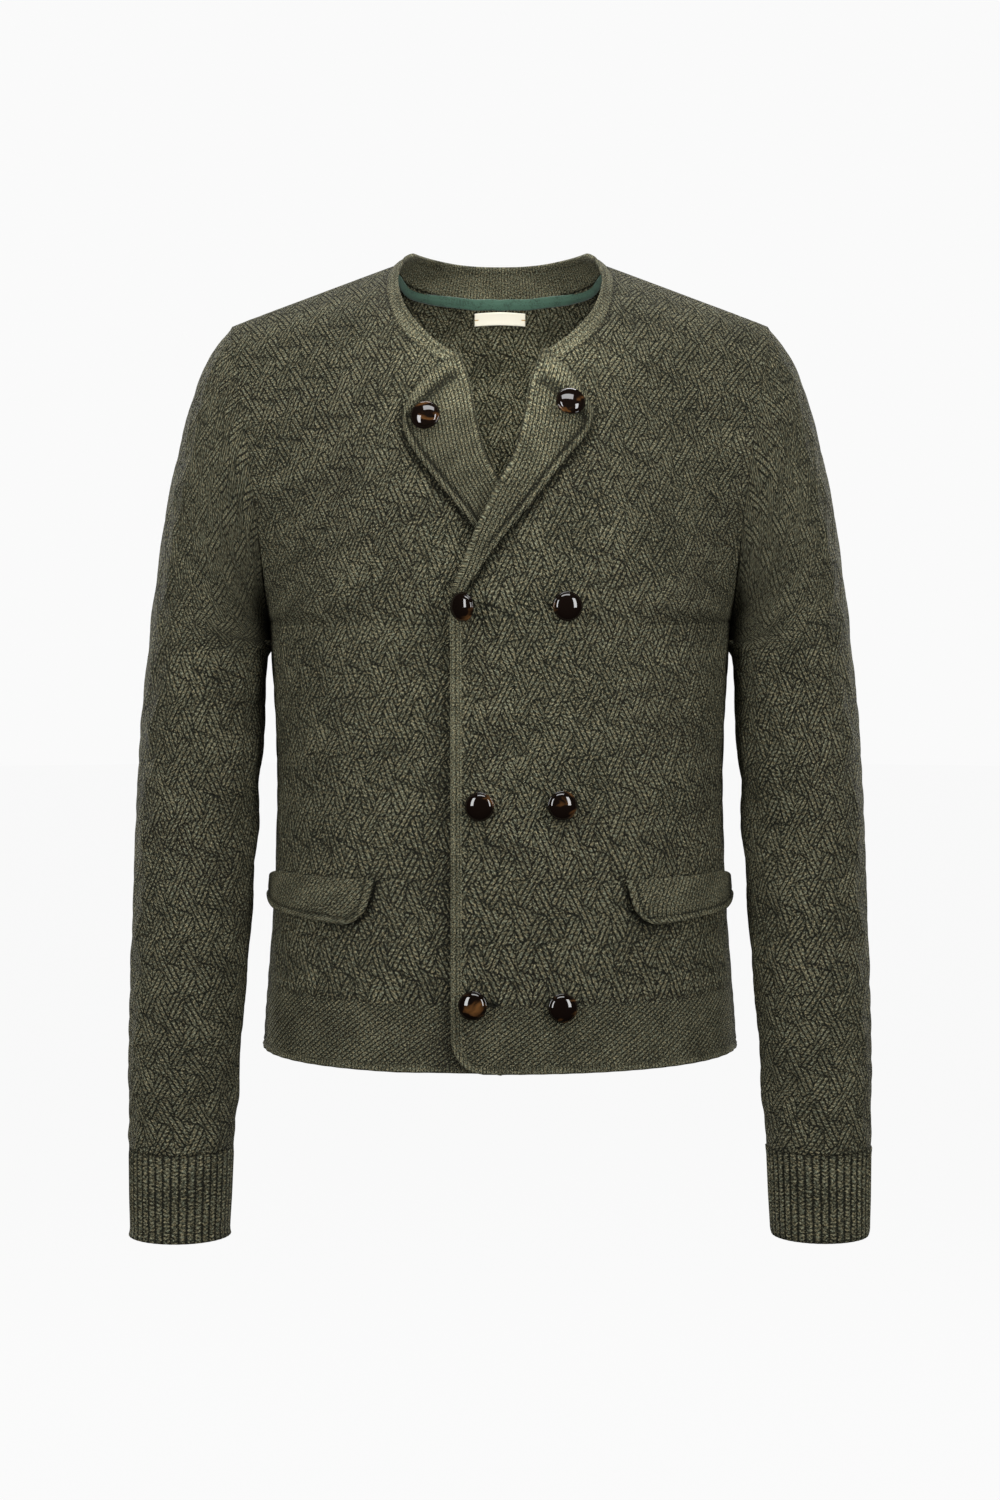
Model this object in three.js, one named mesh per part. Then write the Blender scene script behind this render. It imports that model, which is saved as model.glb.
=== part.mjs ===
// A worn, hollow, double-breasted cardigan in woven-cable knit, held up by its shoulders.
// Millimetres, +Z up. The fronts face -Y and the wearer's left is +X.
// The origin is at the middle of the neck, level with the shoulder ridge beside it.
import * as THREE from 'three';
import { mergeVertices } from 'three/addons/utils/BufferGeometryUtils.js';

// Driving dimensions
const CLOTH = 3;
const LAPEL_CLOTH = 2.6;
const SEAM_GAP = 0.4;
const CABLE_RISE = 0.9;
const RIB_RISE = 0.9;
const LAPEL_LIFT = 1.9;
const FLAP_LIFT = 1.9;
const OVERLAP_HALF = 36;
const BUTTON_RADIUS = 10.8;
const BUTTON_HEIGHT = 6.4;
const SHANK_RADIUS = 3.2;
const CUFF_HEIGHT = 66;
const TAPE_HALF_HEIGHT = 4.3;
const LABEL_HALF_WIDTH = 20.5;
const LABEL_HEIGHT = 11.5;
const LABEL_DROP = 6.5;
const LABEL_CLOTH = 0.6;
const TAPE_CLOTH = 1;
const TAPE_CLEARANCE = 0.85;
const BUTTON_CLEARANCE = 0.1;
const EDGE_RISE = 0.8;

// Rows of the body surface, as its tables count them: hem 0, underarm, shoulder seam
const UNDERARM_ROW = 14;
const SHOULDER_ROW = 28;

// Grids of the pieces. Level is a grid's own row: hem 0, underarm, gorge of the lapels, shoulder seam.
const UNDERARM_LEVEL = 14;
const GORGE_LEVEL = 22;
const SHOULDER_LEVEL = 30;
const FRONT_COLUMNS = 22;
const NECK_COLUMNS_BACK = 8;
const SHOULDER_COLUMNS = 10;
const BACK_HALF_COLUMNS = NECK_COLUMNS_BACK + SHOULDER_COLUMNS;
const SLEEVE_ROWS = 28;
const SLEEVE_COLUMNS = 2 * (SHOULDER_LEVEL - UNDERARM_LEVEL);
const CUFF_RIBS = 30;
const HEM_BAND_ROWS = 2;

// Half the body's width and where the side seam lies, row by row up to the underarm
const SIDE = [
  { row: 0, z: -602.5, x: 184.8, y: 20 },
  { row: 2, z: -572.5, x: 182.9, y: 20 },
  { row: 5, z: -497.4, x: 176.8, y: 20 },
  { row: 8, z: -422.2, x: 173.2, y: 17 },
  { row: 10, z: -372.1, x: 172.4, y: 13 },
  { row: 12, z: -322.1, x: 173.8, y: 9 },
  { row: 14, z: -272, x: 177, y: 5 },
];

// Centre lines of front and back. Above the neckline they are only a guide for the rows.
// reach and rise place the first handle of each row's curve.
const CENTRE = {
  front: [
    { row: 0, y: -112, z: -602.5, reach: 118, rise: 0 },
    { row: 2, y: -112, z: -572.5, reach: 118, rise: 0 },
    { row: 5, y: -109, z: -497.4, reach: 116, rise: 0 },
    { row: 8, y: -107, z: -422.2, reach: 113, rise: 0 },
    { row: 11, y: -112, z: -347.1, reach: 112, rise: 0 },
    { row: 14, y: -119, z: -272, reach: 112, rise: 0 },
    { row: 16, y: -119.5, z: -226, reach: 110, rise: 0 },
    { row: 18, y: -116, z: -178, reach: 106, rise: 0 },
    { row: 20, y: -108, z: -132, reach: 98, rise: 0 },
    { row: 22, y: -94, z: -88, reach: 90, rise: 0 },
    { row: 24, y: -72, z: -47, reach: 80, rise: -2 },
    { row: 26, y: -36, z: -4, reach: 72, rise: -12 },
    { row: 28, y: 14, z: 30, reach: 68, rise: -24.5 },
  ],
  back: [
    { row: 0, y: 113, z: -602.5, reach: 116, rise: 0 },
    { row: 2, y: 112, z: -572.5, reach: 115, rise: 0 },
    { row: 5, y: 107, z: -497.4, reach: 112, rise: 0 },
    { row: 8, y: 102, z: -422.2, reach: 110, rise: 0 },
    { row: 11, y: 107, z: -347.1, reach: 110, rise: 0 },
    { row: 14, y: 115, z: -272, reach: 110, rise: 0 },
    { row: 16, y: 118, z: -226, reach: 108, rise: 0 },
    { row: 18, y: 117.5, z: -178, reach: 104, rise: 0 },
    { row: 20, y: 112, z: -132, reach: 98, rise: 0 },
    { row: 22, y: 102, z: -88, reach: 92, rise: 0 },
    { row: 24, y: 87, z: -46, reach: 82, rise: 0 },
    { row: 25.3, y: 74, z: -21, reach: 76, rise: -3 },
    { row: 26, y: 62, z: -4, reach: 73, rise: -8 },
    { row: 28, y: 14, z: 30, reach: 68, rise: -24.5 },
  ],
};

// Direction and length of each row's last handle, from the side seam or armhole inwards
const EDGE_HANDLE = {
  front: [
    { row: 0, x: 0, y: -1, z: 0, length: 72 },
    { row: 8, x: 0, y: -1, z: 0, length: 68 },
    { row: 14, x: 0, y: -1, z: 0, length: 68 },
    { row: 17, x: -0.6, y: -0.8, z: 0, length: 62 },
    { row: 21, x: -0.93, y: -0.36, z: 0.08, length: 60 },
    { row: 24, x: -0.93, y: -0.2, z: 0.3, length: 60 },
    { row: 28, x: -0.93, y: 0.05, z: 0.37, length: 62 },
  ],
  back: [
    { row: 0, x: 0, y: 1, z: 0, length: 56 },
    { row: 8, x: 0, y: 1, z: 0, length: 50 },
    { row: 14, x: 0, y: 1, z: 0, length: 62 },
    { row: 17, x: -0.55, y: 0.83, z: 0, length: 60 },
    { row: 21, x: -0.92, y: 0.38, z: 0.08, length: 60 },
    { row: 24, x: -0.93, y: 0.22, z: 0.3, length: 60 },
    { row: 28, x: -0.93, y: 0.05, z: 0.37, length: 62 },
  ],
};

// Armhole: an ellipse from the underarm to the shoulder point, hollowed towards the body
const UNDERARM = new THREE.Vector3(177, 5, -272);
const SHOULDER_POINT = new THREE.Vector3(204, 0, -47.5);
const ARMHOLE_HALF_DEPTH = 58;
const ARMHOLE_HOLLOW = 5;

// Sleeve rings from the armhole (0) to the wrist: outer and inner edge, half depth and middle
const SLEEVE = [
  { row: 0, outX: 204, outZ: -47.5, inX: 177, inZ: -272, depth: 58, y: 2.5 },
  { row: 1, outX: 221, outZ: -70, inX: 178.3, inZ: -273.6, depth: 60, y: 2.5 },
  { row: 2, outX: 232.5, outZ: -96, inX: 178.7, inZ: -275.4, depth: 62, y: 2.5 },
  { row: 4, outX: 246, outZ: -144, inX: 178.9, inZ: -279, depth: 65, y: 2.5 },
  { row: 6, outX: 256, outZ: -193, inX: 178.9, inZ: -283, depth: 67, y: 2.5 },
  { row: 8, outX: 264, outZ: -243, inX: 178.9, inZ: -288, depth: 68, y: 2 },
  { row: 10, outX: 269.7, outZ: -292, inX: 179, inZ: -294, depth: 67, y: 1 },
  { row: 14, outX: 277.3, outZ: -380, inX: 184.3, inZ: -381, depth: 62, y: -1 },
  { row: 18, outX: 282, outZ: -468, inX: 190, inZ: -469, depth: 55, y: -5 },
  { row: 22, outX: 284.5, outZ: -556, inX: 196.5, inZ: -557, depth: 48, y: -11 },
  { row: 26, outX: 286, outZ: -644, inX: 202.5, inZ: -644, depth: 41, y: -17 },
  { row: 28, outX: 285.5, outZ: -688.5, inX: 205.5, inZ: -688.5, depth: 37, y: -20 },
];
const CUFF_END = { outX: 285, inX: 208.5, depth: 33.5, y: -23 };

// Neck seam behind, from the middle (0) to the shoulder (4), with the band's reach from seam to top edge
const NECK_BACK = [
  { station: 0, x: 0, y: 74, bandX: 0, bandY: -9, bandZ: 27 },
  { station: 1, x: 27, y: 71, bandX: -4, bandY: -9, bandZ: 26.5 },
  { station: 2, x: 53, y: 60, bandX: -10, bandY: -8, bandZ: 25 },
  { station: 3, x: 73, y: 40, bandX: -15.5, bandY: -6, bandZ: 20 },
  { station: 4, x: 82, y: 14, bandX: -16, bandY: -3, bandZ: 11.5 },
];

// Neck seam in front, from the gorge to the shoulder
const NECK_FRONT = [
  { z: -85.5, x: 29.5, bandX: 2.6, bandY: 5, bandZ: 11.5 },
  { z: -78.5, x: 44, bandX: -2.5, bandY: 4.5, bandZ: 10 },
  { z: -70, x: 57.5, bandX: -5.6, bandY: 4.5, bandZ: 9 },
  { z: -60.5, x: 69, bandX: -6.8, bandY: 4.5, bandZ: 8.4 },
  { z: -47, x: 78, bandX: -8, bandY: 4.5, bandZ: 7.6 },
  { z: -29.5, x: 84, bandX: -9.2, bandY: 4.5, bandZ: 6.8 },
  { z: -16, x: 85.5, bandX: -11, bandY: 4, bandZ: 7 },
  { z: -8, x: 85, bandX: -13, bandY: 2, bandZ: 8 },
  { z: -3.5, x: 82, bandX: -16, bandY: -3, bandZ: 11.5 },
];

// Front edge seen from the front: straight up from the hem, then along the roll line
const FRONT_EDGE = [
  { z: -620, x: -OVERLAP_HALF },
  { z: -290, x: -OVERLAP_HALF },
  { z: -263, x: -OVERLAP_HALF },
  { z: -248, x: -31.5 },
  { z: -231, x: -24 },
  { z: -208, x: -15.5 },
  { z: -190, x: -7 },
  { z: -174, x: 1 },
  { z: -157, x: 10.5 },
  { z: -145, x: 15.3 },
  { z: -119, x: 21.2 },
  { z: -100, x: 24.4 },
  { z: -85.5, x: 29.5 },
  { z: -74, x: 33 },
];

// Lapel outlines seen from the front, for the wearer's left: rollZ on the roll line, the free edge opposite
const LAPEL = {
  left: [
    { along: 0, rollZ: -251, edgeX: -28.5, edgeZ: -252 },
    { along: 0.12, rollZ: -236, edgeX: -17.5, edgeZ: -237 },
    { along: 0.3, rollZ: -208, edgeX: 1, edgeZ: -212 },
    { along: 0.5, rollZ: -172, edgeX: 22, edgeZ: -187 },
    { along: 0.7, rollZ: -139, edgeX: 45, edgeZ: -157 },
    { along: 0.88, rollZ: -104, edgeX: 62.5, edgeZ: -136 },
    { along: 1, rollZ: -75, edgeX: 67, edgeZ: -121 },
  ],
  right: [
    { along: 0, rollZ: -193, edgeX: 13.5, edgeZ: -211 },
    { along: 0.2, rollZ: -176, edgeX: 23, edgeZ: -197 },
    { along: 0.45, rollZ: -148, edgeX: 43, edgeZ: -173 },
    { along: 0.7, rollZ: -119, edgeX: 61, edgeZ: -150 },
    { along: 0.88, rollZ: -95, edgeX: 68.5, edgeZ: -134 },
    { along: 1, rollZ: -76, edgeX: 69.5, edgeZ: -119 },
  ],
};
const LAPEL_COLUMNS = 6;
const LAPEL_ROWS = 10;
const LAPEL_TOP_BULGE = 5;

// Pocket flap: its inner edge slants and its lower inner corner is round
const FLAP = { topX: 91.5, bottomX: 110, topZ: -461.5, dropInner: 34, dropSide: 28, cornerRise: 7, sideY: 8 };
const FLAP_COLUMNS = 12;
const FLAP_ROWS = 4;

// Buttons: centre seen from the front, and how far each tips towards -X and up
const BUTTONS = [
  { name: 'button_lapel_right', x: -53, z: -124, on: 'lapel', tipX: 0, tipZ: 4 },
  { name: 'button_lapel_left', x: 49.2, z: -116.5, on: 'lapel', tipX: 0, tipZ: 12 },
  { name: 'button_top_right', x: -20.8, z: -260, on: 'front', tipX: 28, tipZ: 0 },
  { name: 'button_top_left', x: 48.1, z: -260, on: 'front', tipX: 0, tipZ: 4 },
  { name: 'button_middle_right', x: -14.2, z: -405.5, on: 'front', tipX: 6, tipZ: 2 },
  { name: 'button_middle_left', x: 44.6, z: -405, on: 'front', tipX: 0, tipZ: 4 },
  { name: 'button_bottom_right', x: -19, z: -551.3, on: 'front', tipX: 8, tipZ: 4 },
  { name: 'button_bottom_left', x: 45.2, z: -553.5, on: 'front', tipX: 0, tipZ: 2 },
];
const BUTTON_SIDES = 14;

const FINISHES = {
  wool: { color: 0x48473a, roughness: 0.95, metalness: 0 },
  band: { color: 0x4b4a3c, roughness: 0.95, metalness: 0 },
  velvet: { color: 0x4a6556, roughness: 0.9, metalness: 0 },
  label: { color: 0xe4e2d1, roughness: 0.85, metalness: 0 },
  horn: { color: 0x2b1c12, roughness: 0.15, metalness: 0 },
};

const group = new THREE.Group();

// Numbers from tables

// Smooth value of one column of a table at a given key, through every row of the table
function track(table, key, column, at) {
  const last = table.length - 1;
  const rising = table[last][key] > table[0][key];
  const sorted = rising ? table : [...table].reverse();
  const k = sorted.findIndex((entry, index) => index > 0 && at <= entry[key]);
  const hi = k < 0 ? last : k;
  const lo = hi - 1;
  const slope = (a, b) => (sorted[b][column] - sorted[a][column]) / (sorted[b][key] - sorted[a][key]);
  const span = sorted[hi][key] - sorted[lo][key];
  const startSlope = lo > 0 ? slope(lo - 1, hi) : slope(lo, hi);
  const endSlope = hi < last ? slope(lo, hi + 1) : slope(lo, hi);
  const t = THREE.MathUtils.clamp((at - sorted[lo][key]) / span, 0, 1);
  const t2 = t * t;
  const t3 = t2 * t;
  return sorted[lo][column] * (2 * t3 - 3 * t2 + 1) + startSlope * span * (t3 - 2 * t2 + t)
    + sorted[hi][column] * (3 * t2 - 2 * t3) + endSlope * span * (t3 - t2);
}

// Where a rising function reaches a value
function solve(rising, target, low, high) {
  let lo = low;
  let hi = high;
  for (let step = 0; step < 22; step += 1) {
    const middle = (lo + hi) / 2;
    if (rising(middle) < target) lo = middle;
    else hi = middle;
  }
  return (lo + hi) / 2;
}

const mix = THREE.MathUtils.lerp;
const ease = THREE.MathUtils.smoothstep;

// Armhole

const armAxis = SHOULDER_POINT.clone().sub(UNDERARM);
const armHalfHeight = armAxis.length() / 2;
const armUp = armAxis.clone().normalize();
const armCentre = SHOULDER_POINT.clone().add(UNDERARM).multiplyScalar(0.5);
const armOut = new THREE.Vector3(armUp.z, 0, -armUp.x);

// The angle whose arc from the underarm is the given share of the half armhole
const ARC_STEPS = 180;
const armArcs = [0];
for (let step = 1; step <= ARC_STEPS; step += 1) {
  const angle = Math.PI * (step - 0.5) / ARC_STEPS;
  const length = Math.hypot(armHalfHeight * Math.sin(angle), ARMHOLE_HALF_DEPTH * Math.cos(angle));
  armArcs.push(armArcs[step - 1] + length);
}

function armAngle(share) {
  const wanted = share * armArcs[ARC_STEPS];
  const step = Math.max(1, armArcs.findIndex((arc) => arc >= wanted));
  const part = (wanted - armArcs[step - 1]) / (armArcs[step] - armArcs[step - 1]);
  return Math.PI - Math.PI * (step - 1 + part) / ARC_STEPS;
}

// A point on the armhole and the direction that faces out of it. side is -1 in front and 1 behind.
function armhole(row, side) {
  const angle = armAngle((row - UNDERARM_ROW) / (SHOULDER_ROW - UNDERARM_ROW));
  const up = Math.cos(angle);
  const depth = Math.sin(angle) * side;
  const point = armCentre.clone()
    .addScaledVector(armUp, armHalfHeight * up)
    .add(new THREE.Vector3(-ARMHOLE_HOLLOW * depth * depth, ARMHOLE_HALF_DEPTH * depth, 0));
  const normal = armUp.clone().multiplyScalar(up / armHalfHeight)
    .add(new THREE.Vector3(0, depth / ARMHOLE_HALF_DEPTH, 0)).normalize();
  return { point, normal, angle };
}

// Body surface, for the +X half: across runs from the centre line (0) to the side (1), and below 0 mirrors

function bodyPoint(face, across, row) {
  const side = face === 'front' ? -1 : 1;
  const read = (table, column) => track(table, 'row', column, row);
  const start = new THREE.Vector3(0, read(CENTRE[face], 'y'), read(CENTRE[face], 'z'));
  const first = start.clone().add(new THREE.Vector3(read(CENTRE[face], 'reach'), 0, read(CENTRE[face], 'rise')));
  const end = row <= UNDERARM_ROW
    ? new THREE.Vector3(read(SIDE, 'x'), read(SIDE, 'y'), read(SIDE, 'z'))
    : armhole(row, side).point;
  const handle = EDGE_HANDLE[face];
  const inwards = new THREE.Vector3(read(handle, 'x'), read(handle, 'y'), read(handle, 'z')).normalize();
  const second = end.clone().addScaledVector(inwards, read(handle, 'length'));
  const point = new THREE.CubicBezierCurve3(start, first, second, end).getPoint(Math.abs(across));
  if (across < 0) point.x = -point.x;
  return point;
}

// The outward direction of the body surface
function bodyNormal(face, across, row) {
  const d = 0.01;
  const along = bodyPoint(face, across + d, row).sub(bodyPoint(face, across - d, row));
  const up = bodyPoint(face, across, Math.min(row + d, SHOULDER_ROW)).sub(bodyPoint(face, across, Math.max(row - d, 0)));
  const normal = along.cross(up).normalize();
  return face === 'front' ? normal : normal.negate();
}

function acrossAt(face, row, x) {
  const size = solve((across) => bodyPoint(face, across, row).x, Math.abs(x), 0, 1);
  return x < 0 ? -size : size;
}

// Surface coordinates of a point of the front seen at x and z
function locate(x, z) {
  const height = (row) => bodyPoint('front', acrossAt('front', row, x), row).z;
  const row = solve(height, z, 0, SHOULDER_ROW);
  return { across: acrossAt('front', row, x), row };
}

// Surface coordinates on a row of the front where a line seen from the front, x over z, crosses it
function crossing(line, row) {
  let across = 0;
  for (let turn = 0; turn < 12; turn += 1) {
    const { z } = bodyPoint('front', across, row);
    across = acrossAt('front', row, track(line, 'z', 'x', z));
  }
  return { across, row };
}

// Grids: points[column][row], with columns running anticlockwise seen from above and rows running up

function makeGrid(columns, rows, place, closed = false) {
  const points = [];
  for (let i = 0; i <= (closed ? columns - 1 : columns); i += 1) {
    points.push([]);
    for (let j = 0; j <= rows; j += 1) points[i].push(place(i, j));
  }
  return { columns, rows, points, closed };
}

// Surface coordinates spread evenly between four edges, each a function of the column or level
function spread(columns, rows, { left, right, bottom, top }) {
  const walk = (edge, count) => Array.from({ length: count + 1 }, (unused, k) => edge(k));
  const [lefts, rights] = [walk(left, rows), walk(right, rows)];
  const [bottoms, tops] = [walk(bottom, columns), walk(top, columns)];
  return makeGrid(columns, rows, (i, j) => {
    const [s, t] = [i / columns, j / rows];
    const blend = (key) => mix(bottoms[i][key], tops[i][key], t) + mix(lefts[j][key], rights[j][key], s)
      - mix(mix(bottoms[0][key], bottoms[columns][key], s), mix(tops[0][key], tops[columns][key], s), t);
    return { across: blend('across'), row: blend('row') };
  });
}

const gorgeRow = locate(NECK_FRONT[0].x, NECK_FRONT[0].z).row;

// Row of the body surface that a level of the grids lies on
function rowAt(level) {
  if (level <= UNDERARM_LEVEL) return level * UNDERARM_ROW / UNDERARM_LEVEL;
  if (level <= GORGE_LEVEL) {
    return mix(UNDERARM_ROW, gorgeRow, (level - UNDERARM_LEVEL) / (GORGE_LEVEL - UNDERARM_LEVEL));
  }
  return mix(gorgeRow, SHOULDER_ROW, (level - GORGE_LEVEL) / (SHOULDER_LEVEL - GORGE_LEVEL));
}

const shoulderNeck = { across: acrossAt('front', SHOULDER_ROW, NECK_BACK.at(-1).x), row: SHOULDER_ROW };

// Front panel, drawn for the wearer's left

const CORNER_CUT = 7;
const CORNER_RISE = 0.45;
const CORNER_COLUMNS = 2;

function frontEdge(level) {
  if (level === SHOULDER_LEVEL) return shoulderNeck;
  const row = Math.max(rowAt(level), CORNER_RISE);
  if (level >= GORGE_LEVEL) return crossing(NECK_FRONT, row);
  const edge = crossing(FRONT_EDGE, row);
  if (level > 1) return edge;
  const cut = level === 0 ? CORNER_CUT : CORNER_CUT / 10;
  return { across: acrossAt('front', row, bodyPoint('front', edge.across, row).x + cut), row };
}

const frontEdges = Array.from({ length: SHOULDER_LEVEL + 1 }, (unused, level) => frontEdge(level));

const frontSites = makeGrid(FRONT_COLUMNS, SHOULDER_LEVEL, (i, j) => {
  const corner = j === 0 ? CORNER_RISE * Math.max(0, 1 - i / CORNER_COLUMNS) ** 2 : rowAt(j);
  return { across: mix(frontEdges[j].across, 1, i / FRONT_COLUMNS), row: corner };
});

// Where the right front goes under the left one it lies deeper, most of all under its own lapel
function underlapDip(x, z) {
  const deep = 4.4;
  const extra = 5.6 * Math.exp(-((x + 2) ** 2 + (z + 196) ** 2) / (2 * 38 ** 2));
  return ease(x, -80, -42) * deep + ease(x, -60, -16) * extra;
}

function frontPoint(site, wearer) {
  const point = bodyPoint('front', site.across, site.row);
  if (wearer === 'left') return point;
  const dip = underlapDip(-point.x, point.z);
  point.addScaledVector(bodyNormal('front', site.across, site.row), -dip);
  point.x = -point.x;
  return point;
}

const frontLeft = makeGrid(FRONT_COLUMNS, SHOULDER_LEVEL, (i, j) => frontPoint(frontSites.points[i][j], 'left'));
const frontRight = makeGrid(FRONT_COLUMNS, SHOULDER_LEVEL, (i, j) => (
  frontPoint(frontSites.points[FRONT_COLUMNS - i][j], 'right')));

// Back panel, from the wearer's left side seam to the right one

// Surface coordinates of the neck seam behind, for a column counted from the middle
function backNeck(column) {
  if (column === NECK_COLUMNS_BACK) return shoulderNeck;
  const station = (NECK_BACK.length - 1) * column / NECK_COLUMNS_BACK;
  const x = track(NECK_BACK, 'station', 'x', station);
  const depth = (row) => -bodyPoint('back', acrossAt('back', row, x), row).y;
  const row = solve(depth, -track(NECK_BACK, 'station', 'y', station), SHOULDER_ROW - 6, SHOULDER_ROW);
  return { across: acrossAt('back', row, x), row };
}

const backNecks = Array.from({ length: NECK_COLUMNS_BACK + 1 }, (unused, column) => backNeck(column));

const backSites = spread(BACK_HALF_COLUMNS, SHOULDER_LEVEL, {
  left: (level) => ({ across: 0, row: rowAt(level) * backNecks[0].row / SHOULDER_ROW }),
  right: (level) => ({ across: 1, row: rowAt(level) }),
  bottom: (column) => ({ across: column / BACK_HALF_COLUMNS, row: 0 }),
  top: (column) => {
    if (column <= NECK_COLUMNS_BACK) return backNecks[column];
    const share = (column - NECK_COLUMNS_BACK) / SHOULDER_COLUMNS;
    return { across: mix(shoulderNeck.across, 1, share), row: SHOULDER_ROW };
  },
});

const back = makeGrid(2 * BACK_HALF_COLUMNS, SHOULDER_LEVEL, (i, j) => {
  const half = BACK_HALF_COLUMNS - i;
  const site = backSites.points[Math.abs(half)][j];
  const point = bodyPoint('back', site.across, site.row);
  if (half < 0) point.x = -point.x;
  return point;
});

// Sleeve and cuff, for the wearer's left. Columns run from the underarm up the back and down the front.

function sleeveRing(row) {
  const read = (column) => track(SLEEVE, 'row', column, row);
  return {
    outer: new THREE.Vector3(read('outX'), read('y'), read('outZ')),
    inner: new THREE.Vector3(read('inX'), read('y'), read('inZ')),
    depth: read('depth'),
  };
}

function ringPoint(ring, angle) {
  const middle = ring.outer.clone().add(ring.inner).multiplyScalar(0.5);
  const half = ring.outer.clone().sub(ring.inner).multiplyScalar(0.5);
  return middle.addScaledVector(half, Math.cos(angle)).add(new THREE.Vector3(0, Math.sin(angle) * ring.depth, 0));
}

const SLEEVE_HALF_COLUMNS = SLEEVE_COLUMNS / 2;

const sleeve = makeGrid(SLEEVE_COLUMNS, SLEEVE_ROWS, (i, j) => {
  const behind = i <= SLEEVE_HALF_COLUMNS;
  const step = behind ? i : SLEEVE_COLUMNS - i;
  const atArmhole = armhole(rowAt(UNDERARM_LEVEL + step), behind ? 1 : -1);
  if (j === 0) return atArmhole.point;
  const even = Math.PI * (1 - step / SLEEVE_HALF_COLUMNS);
  const angle = mix(atArmhole.angle, even, ease(j, 0, 12));
  const point = ringPoint(sleeveRing(j), behind ? angle : -angle);
  point.x -= Math.sin(atArmhole.angle) ** 2 * ARMHOLE_HOLLOW * (1 - ease(j, 0, 4));
  return point;
}, true);

const wrist = sleeveRing(SLEEVE_ROWS);
const CUFF_ROWS = 4;
const cuff = makeGrid(CUFF_RIBS * 2, CUFF_ROWS, (i, j) => {
  const t = j / CUFF_ROWS;
  const z = wrist.outer.z - CUFF_HEIGHT * t;
  const y = mix(wrist.outer.y, CUFF_END.y, t);
  const ring = {
    outer: new THREE.Vector3(mix(wrist.outer.x, CUFF_END.outX, t), y, z),
    inner: new THREE.Vector3(mix(wrist.inner.x, CUFF_END.inX, t), y, z),
    depth: mix(wrist.depth, CUFF_END.depth, t),
  };
  return ringPoint(ring, Math.PI - Math.PI * i / CUFF_RIBS);
}, true);

// Neck band, from the wearer's left gorge round the back to the right gorge

const BAND_ROWS = 2;
const NECK_COLUMNS_FRONT = SHOULDER_LEVEL - GORGE_LEVEL;
const BAND_HALF_COLUMNS = NECK_COLUMNS_FRONT + NECK_COLUMNS_BACK;

function bandPoint(fromMiddle, wearer, height) {
  const behind = fromMiddle <= NECK_COLUMNS_BACK;
  const table = behind ? NECK_BACK : NECK_FRONT;
  const site = behind ? backNecks[fromMiddle] : frontEdges[SHOULDER_LEVEL + NECK_COLUMNS_BACK - fromMiddle];
  const seam = bodyPoint(behind ? 'back' : 'front', site.across, site.row);
  const at = behind ? (NECK_BACK.length - 1) * fromMiddle / NECK_COLUMNS_BACK : seam.z;
  const key = behind ? 'station' : 'z';
  const [x, y, z] = ['bandX', 'bandY', 'bandZ'].map((column) => height * track(table, key, column, at));
  const root = behind ? seam : frontPoint(site, wearer);
  if (behind && wearer === 'right') root.x = -root.x;
  return root.add(new THREE.Vector3(wearer === 'right' ? -x : x, y, z));
}

const band = makeGrid(2 * BAND_HALF_COLUMNS, BAND_ROWS, (i, j) => (
  bandPoint(Math.abs(i - BAND_HALF_COLUMNS), i > BAND_HALF_COLUMNS ? 'right' : 'left', j / BAND_ROWS)));

// Normals of every grid. Points that two pieces share get one common normal.

function gridNormals(grid) {
  const { points, columns, rows, closed } = grid;
  return points.map((line, i) => line.map((point, j) => {
    const before = closed ? points[(i + columns - 1) % columns] : points[Math.max(i - 1, 0)];
    const after = closed ? points[(i + 1) % columns] : points[Math.min(i + 1, columns)];
    const along = after[j].clone().sub(before[j]);
    const up = line[Math.min(j + 1, rows)].clone().sub(line[Math.max(j - 1, 0)]);
    return along.cross(up).normalize();
  }));
}

function mirrorGrid(grid) {
  const { columns, rows, points, closed } = grid;
  const last = closed ? columns - 1 : columns;
  const flip = (point) => new THREE.Vector3(-point.x, point.y, point.z);
  return makeGrid(columns, rows, (i, j) => flip(points[last - i][j]), closed);
}

const pieces = {
  front_left: frontLeft,
  front_right: frontRight,
  back,
  sleeve_left: sleeve,
  sleeve_right: mirrorGrid(sleeve),
  cuff_left: cuff,
  cuff_right: mirrorGrid(cuff),
  neck_band: band,
};

const keyOf = (point) => [point.x, point.y, point.z].map((value) => Math.round(value * 20)).join();
const sharedNormals = new Map();
const isEdge = (grid, i, j) => j === 0 || j === grid.rows || (!grid.closed && (i === 0 || i === grid.columns));

Object.values(pieces).forEach((grid) => {
  grid.normals = gridNormals(grid);
  grid.points.forEach((line, i) => line.forEach((point, j) => {
    if (!isEdge(grid, i, j)) return;
    const key = keyOf(point);
    const sum = sharedNormals.get(key) ?? new THREE.Vector3();
    sharedNormals.set(key, sum.add(grid.normals[i][j]));
  }));
});

// Along the shoulder seam front and back share one normal
const seamStart = bodyPoint('front', shoulderNeck.across, SHOULDER_ROW);
const seamAlong = SHOULDER_POINT.clone().sub(seamStart).normalize();
const shoulderUp = seamAlong.clone().cross(new THREE.Vector3(0, -1, 0)).normalize();
Object.values(pieces).forEach((grid) => grid.points.forEach((line) => {
  const point = line[grid.rows];
  if (grid.rows !== SHOULDER_LEVEL || Math.abs(point.x) < seamStart.x + 1) return;
  const wearer = Math.sign(point.x);
  sharedNormals.set(keyOf(point), new THREE.Vector3(shoulderUp.x * wearer, shoulderUp.y, shoulderUp.z));
}));

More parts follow.
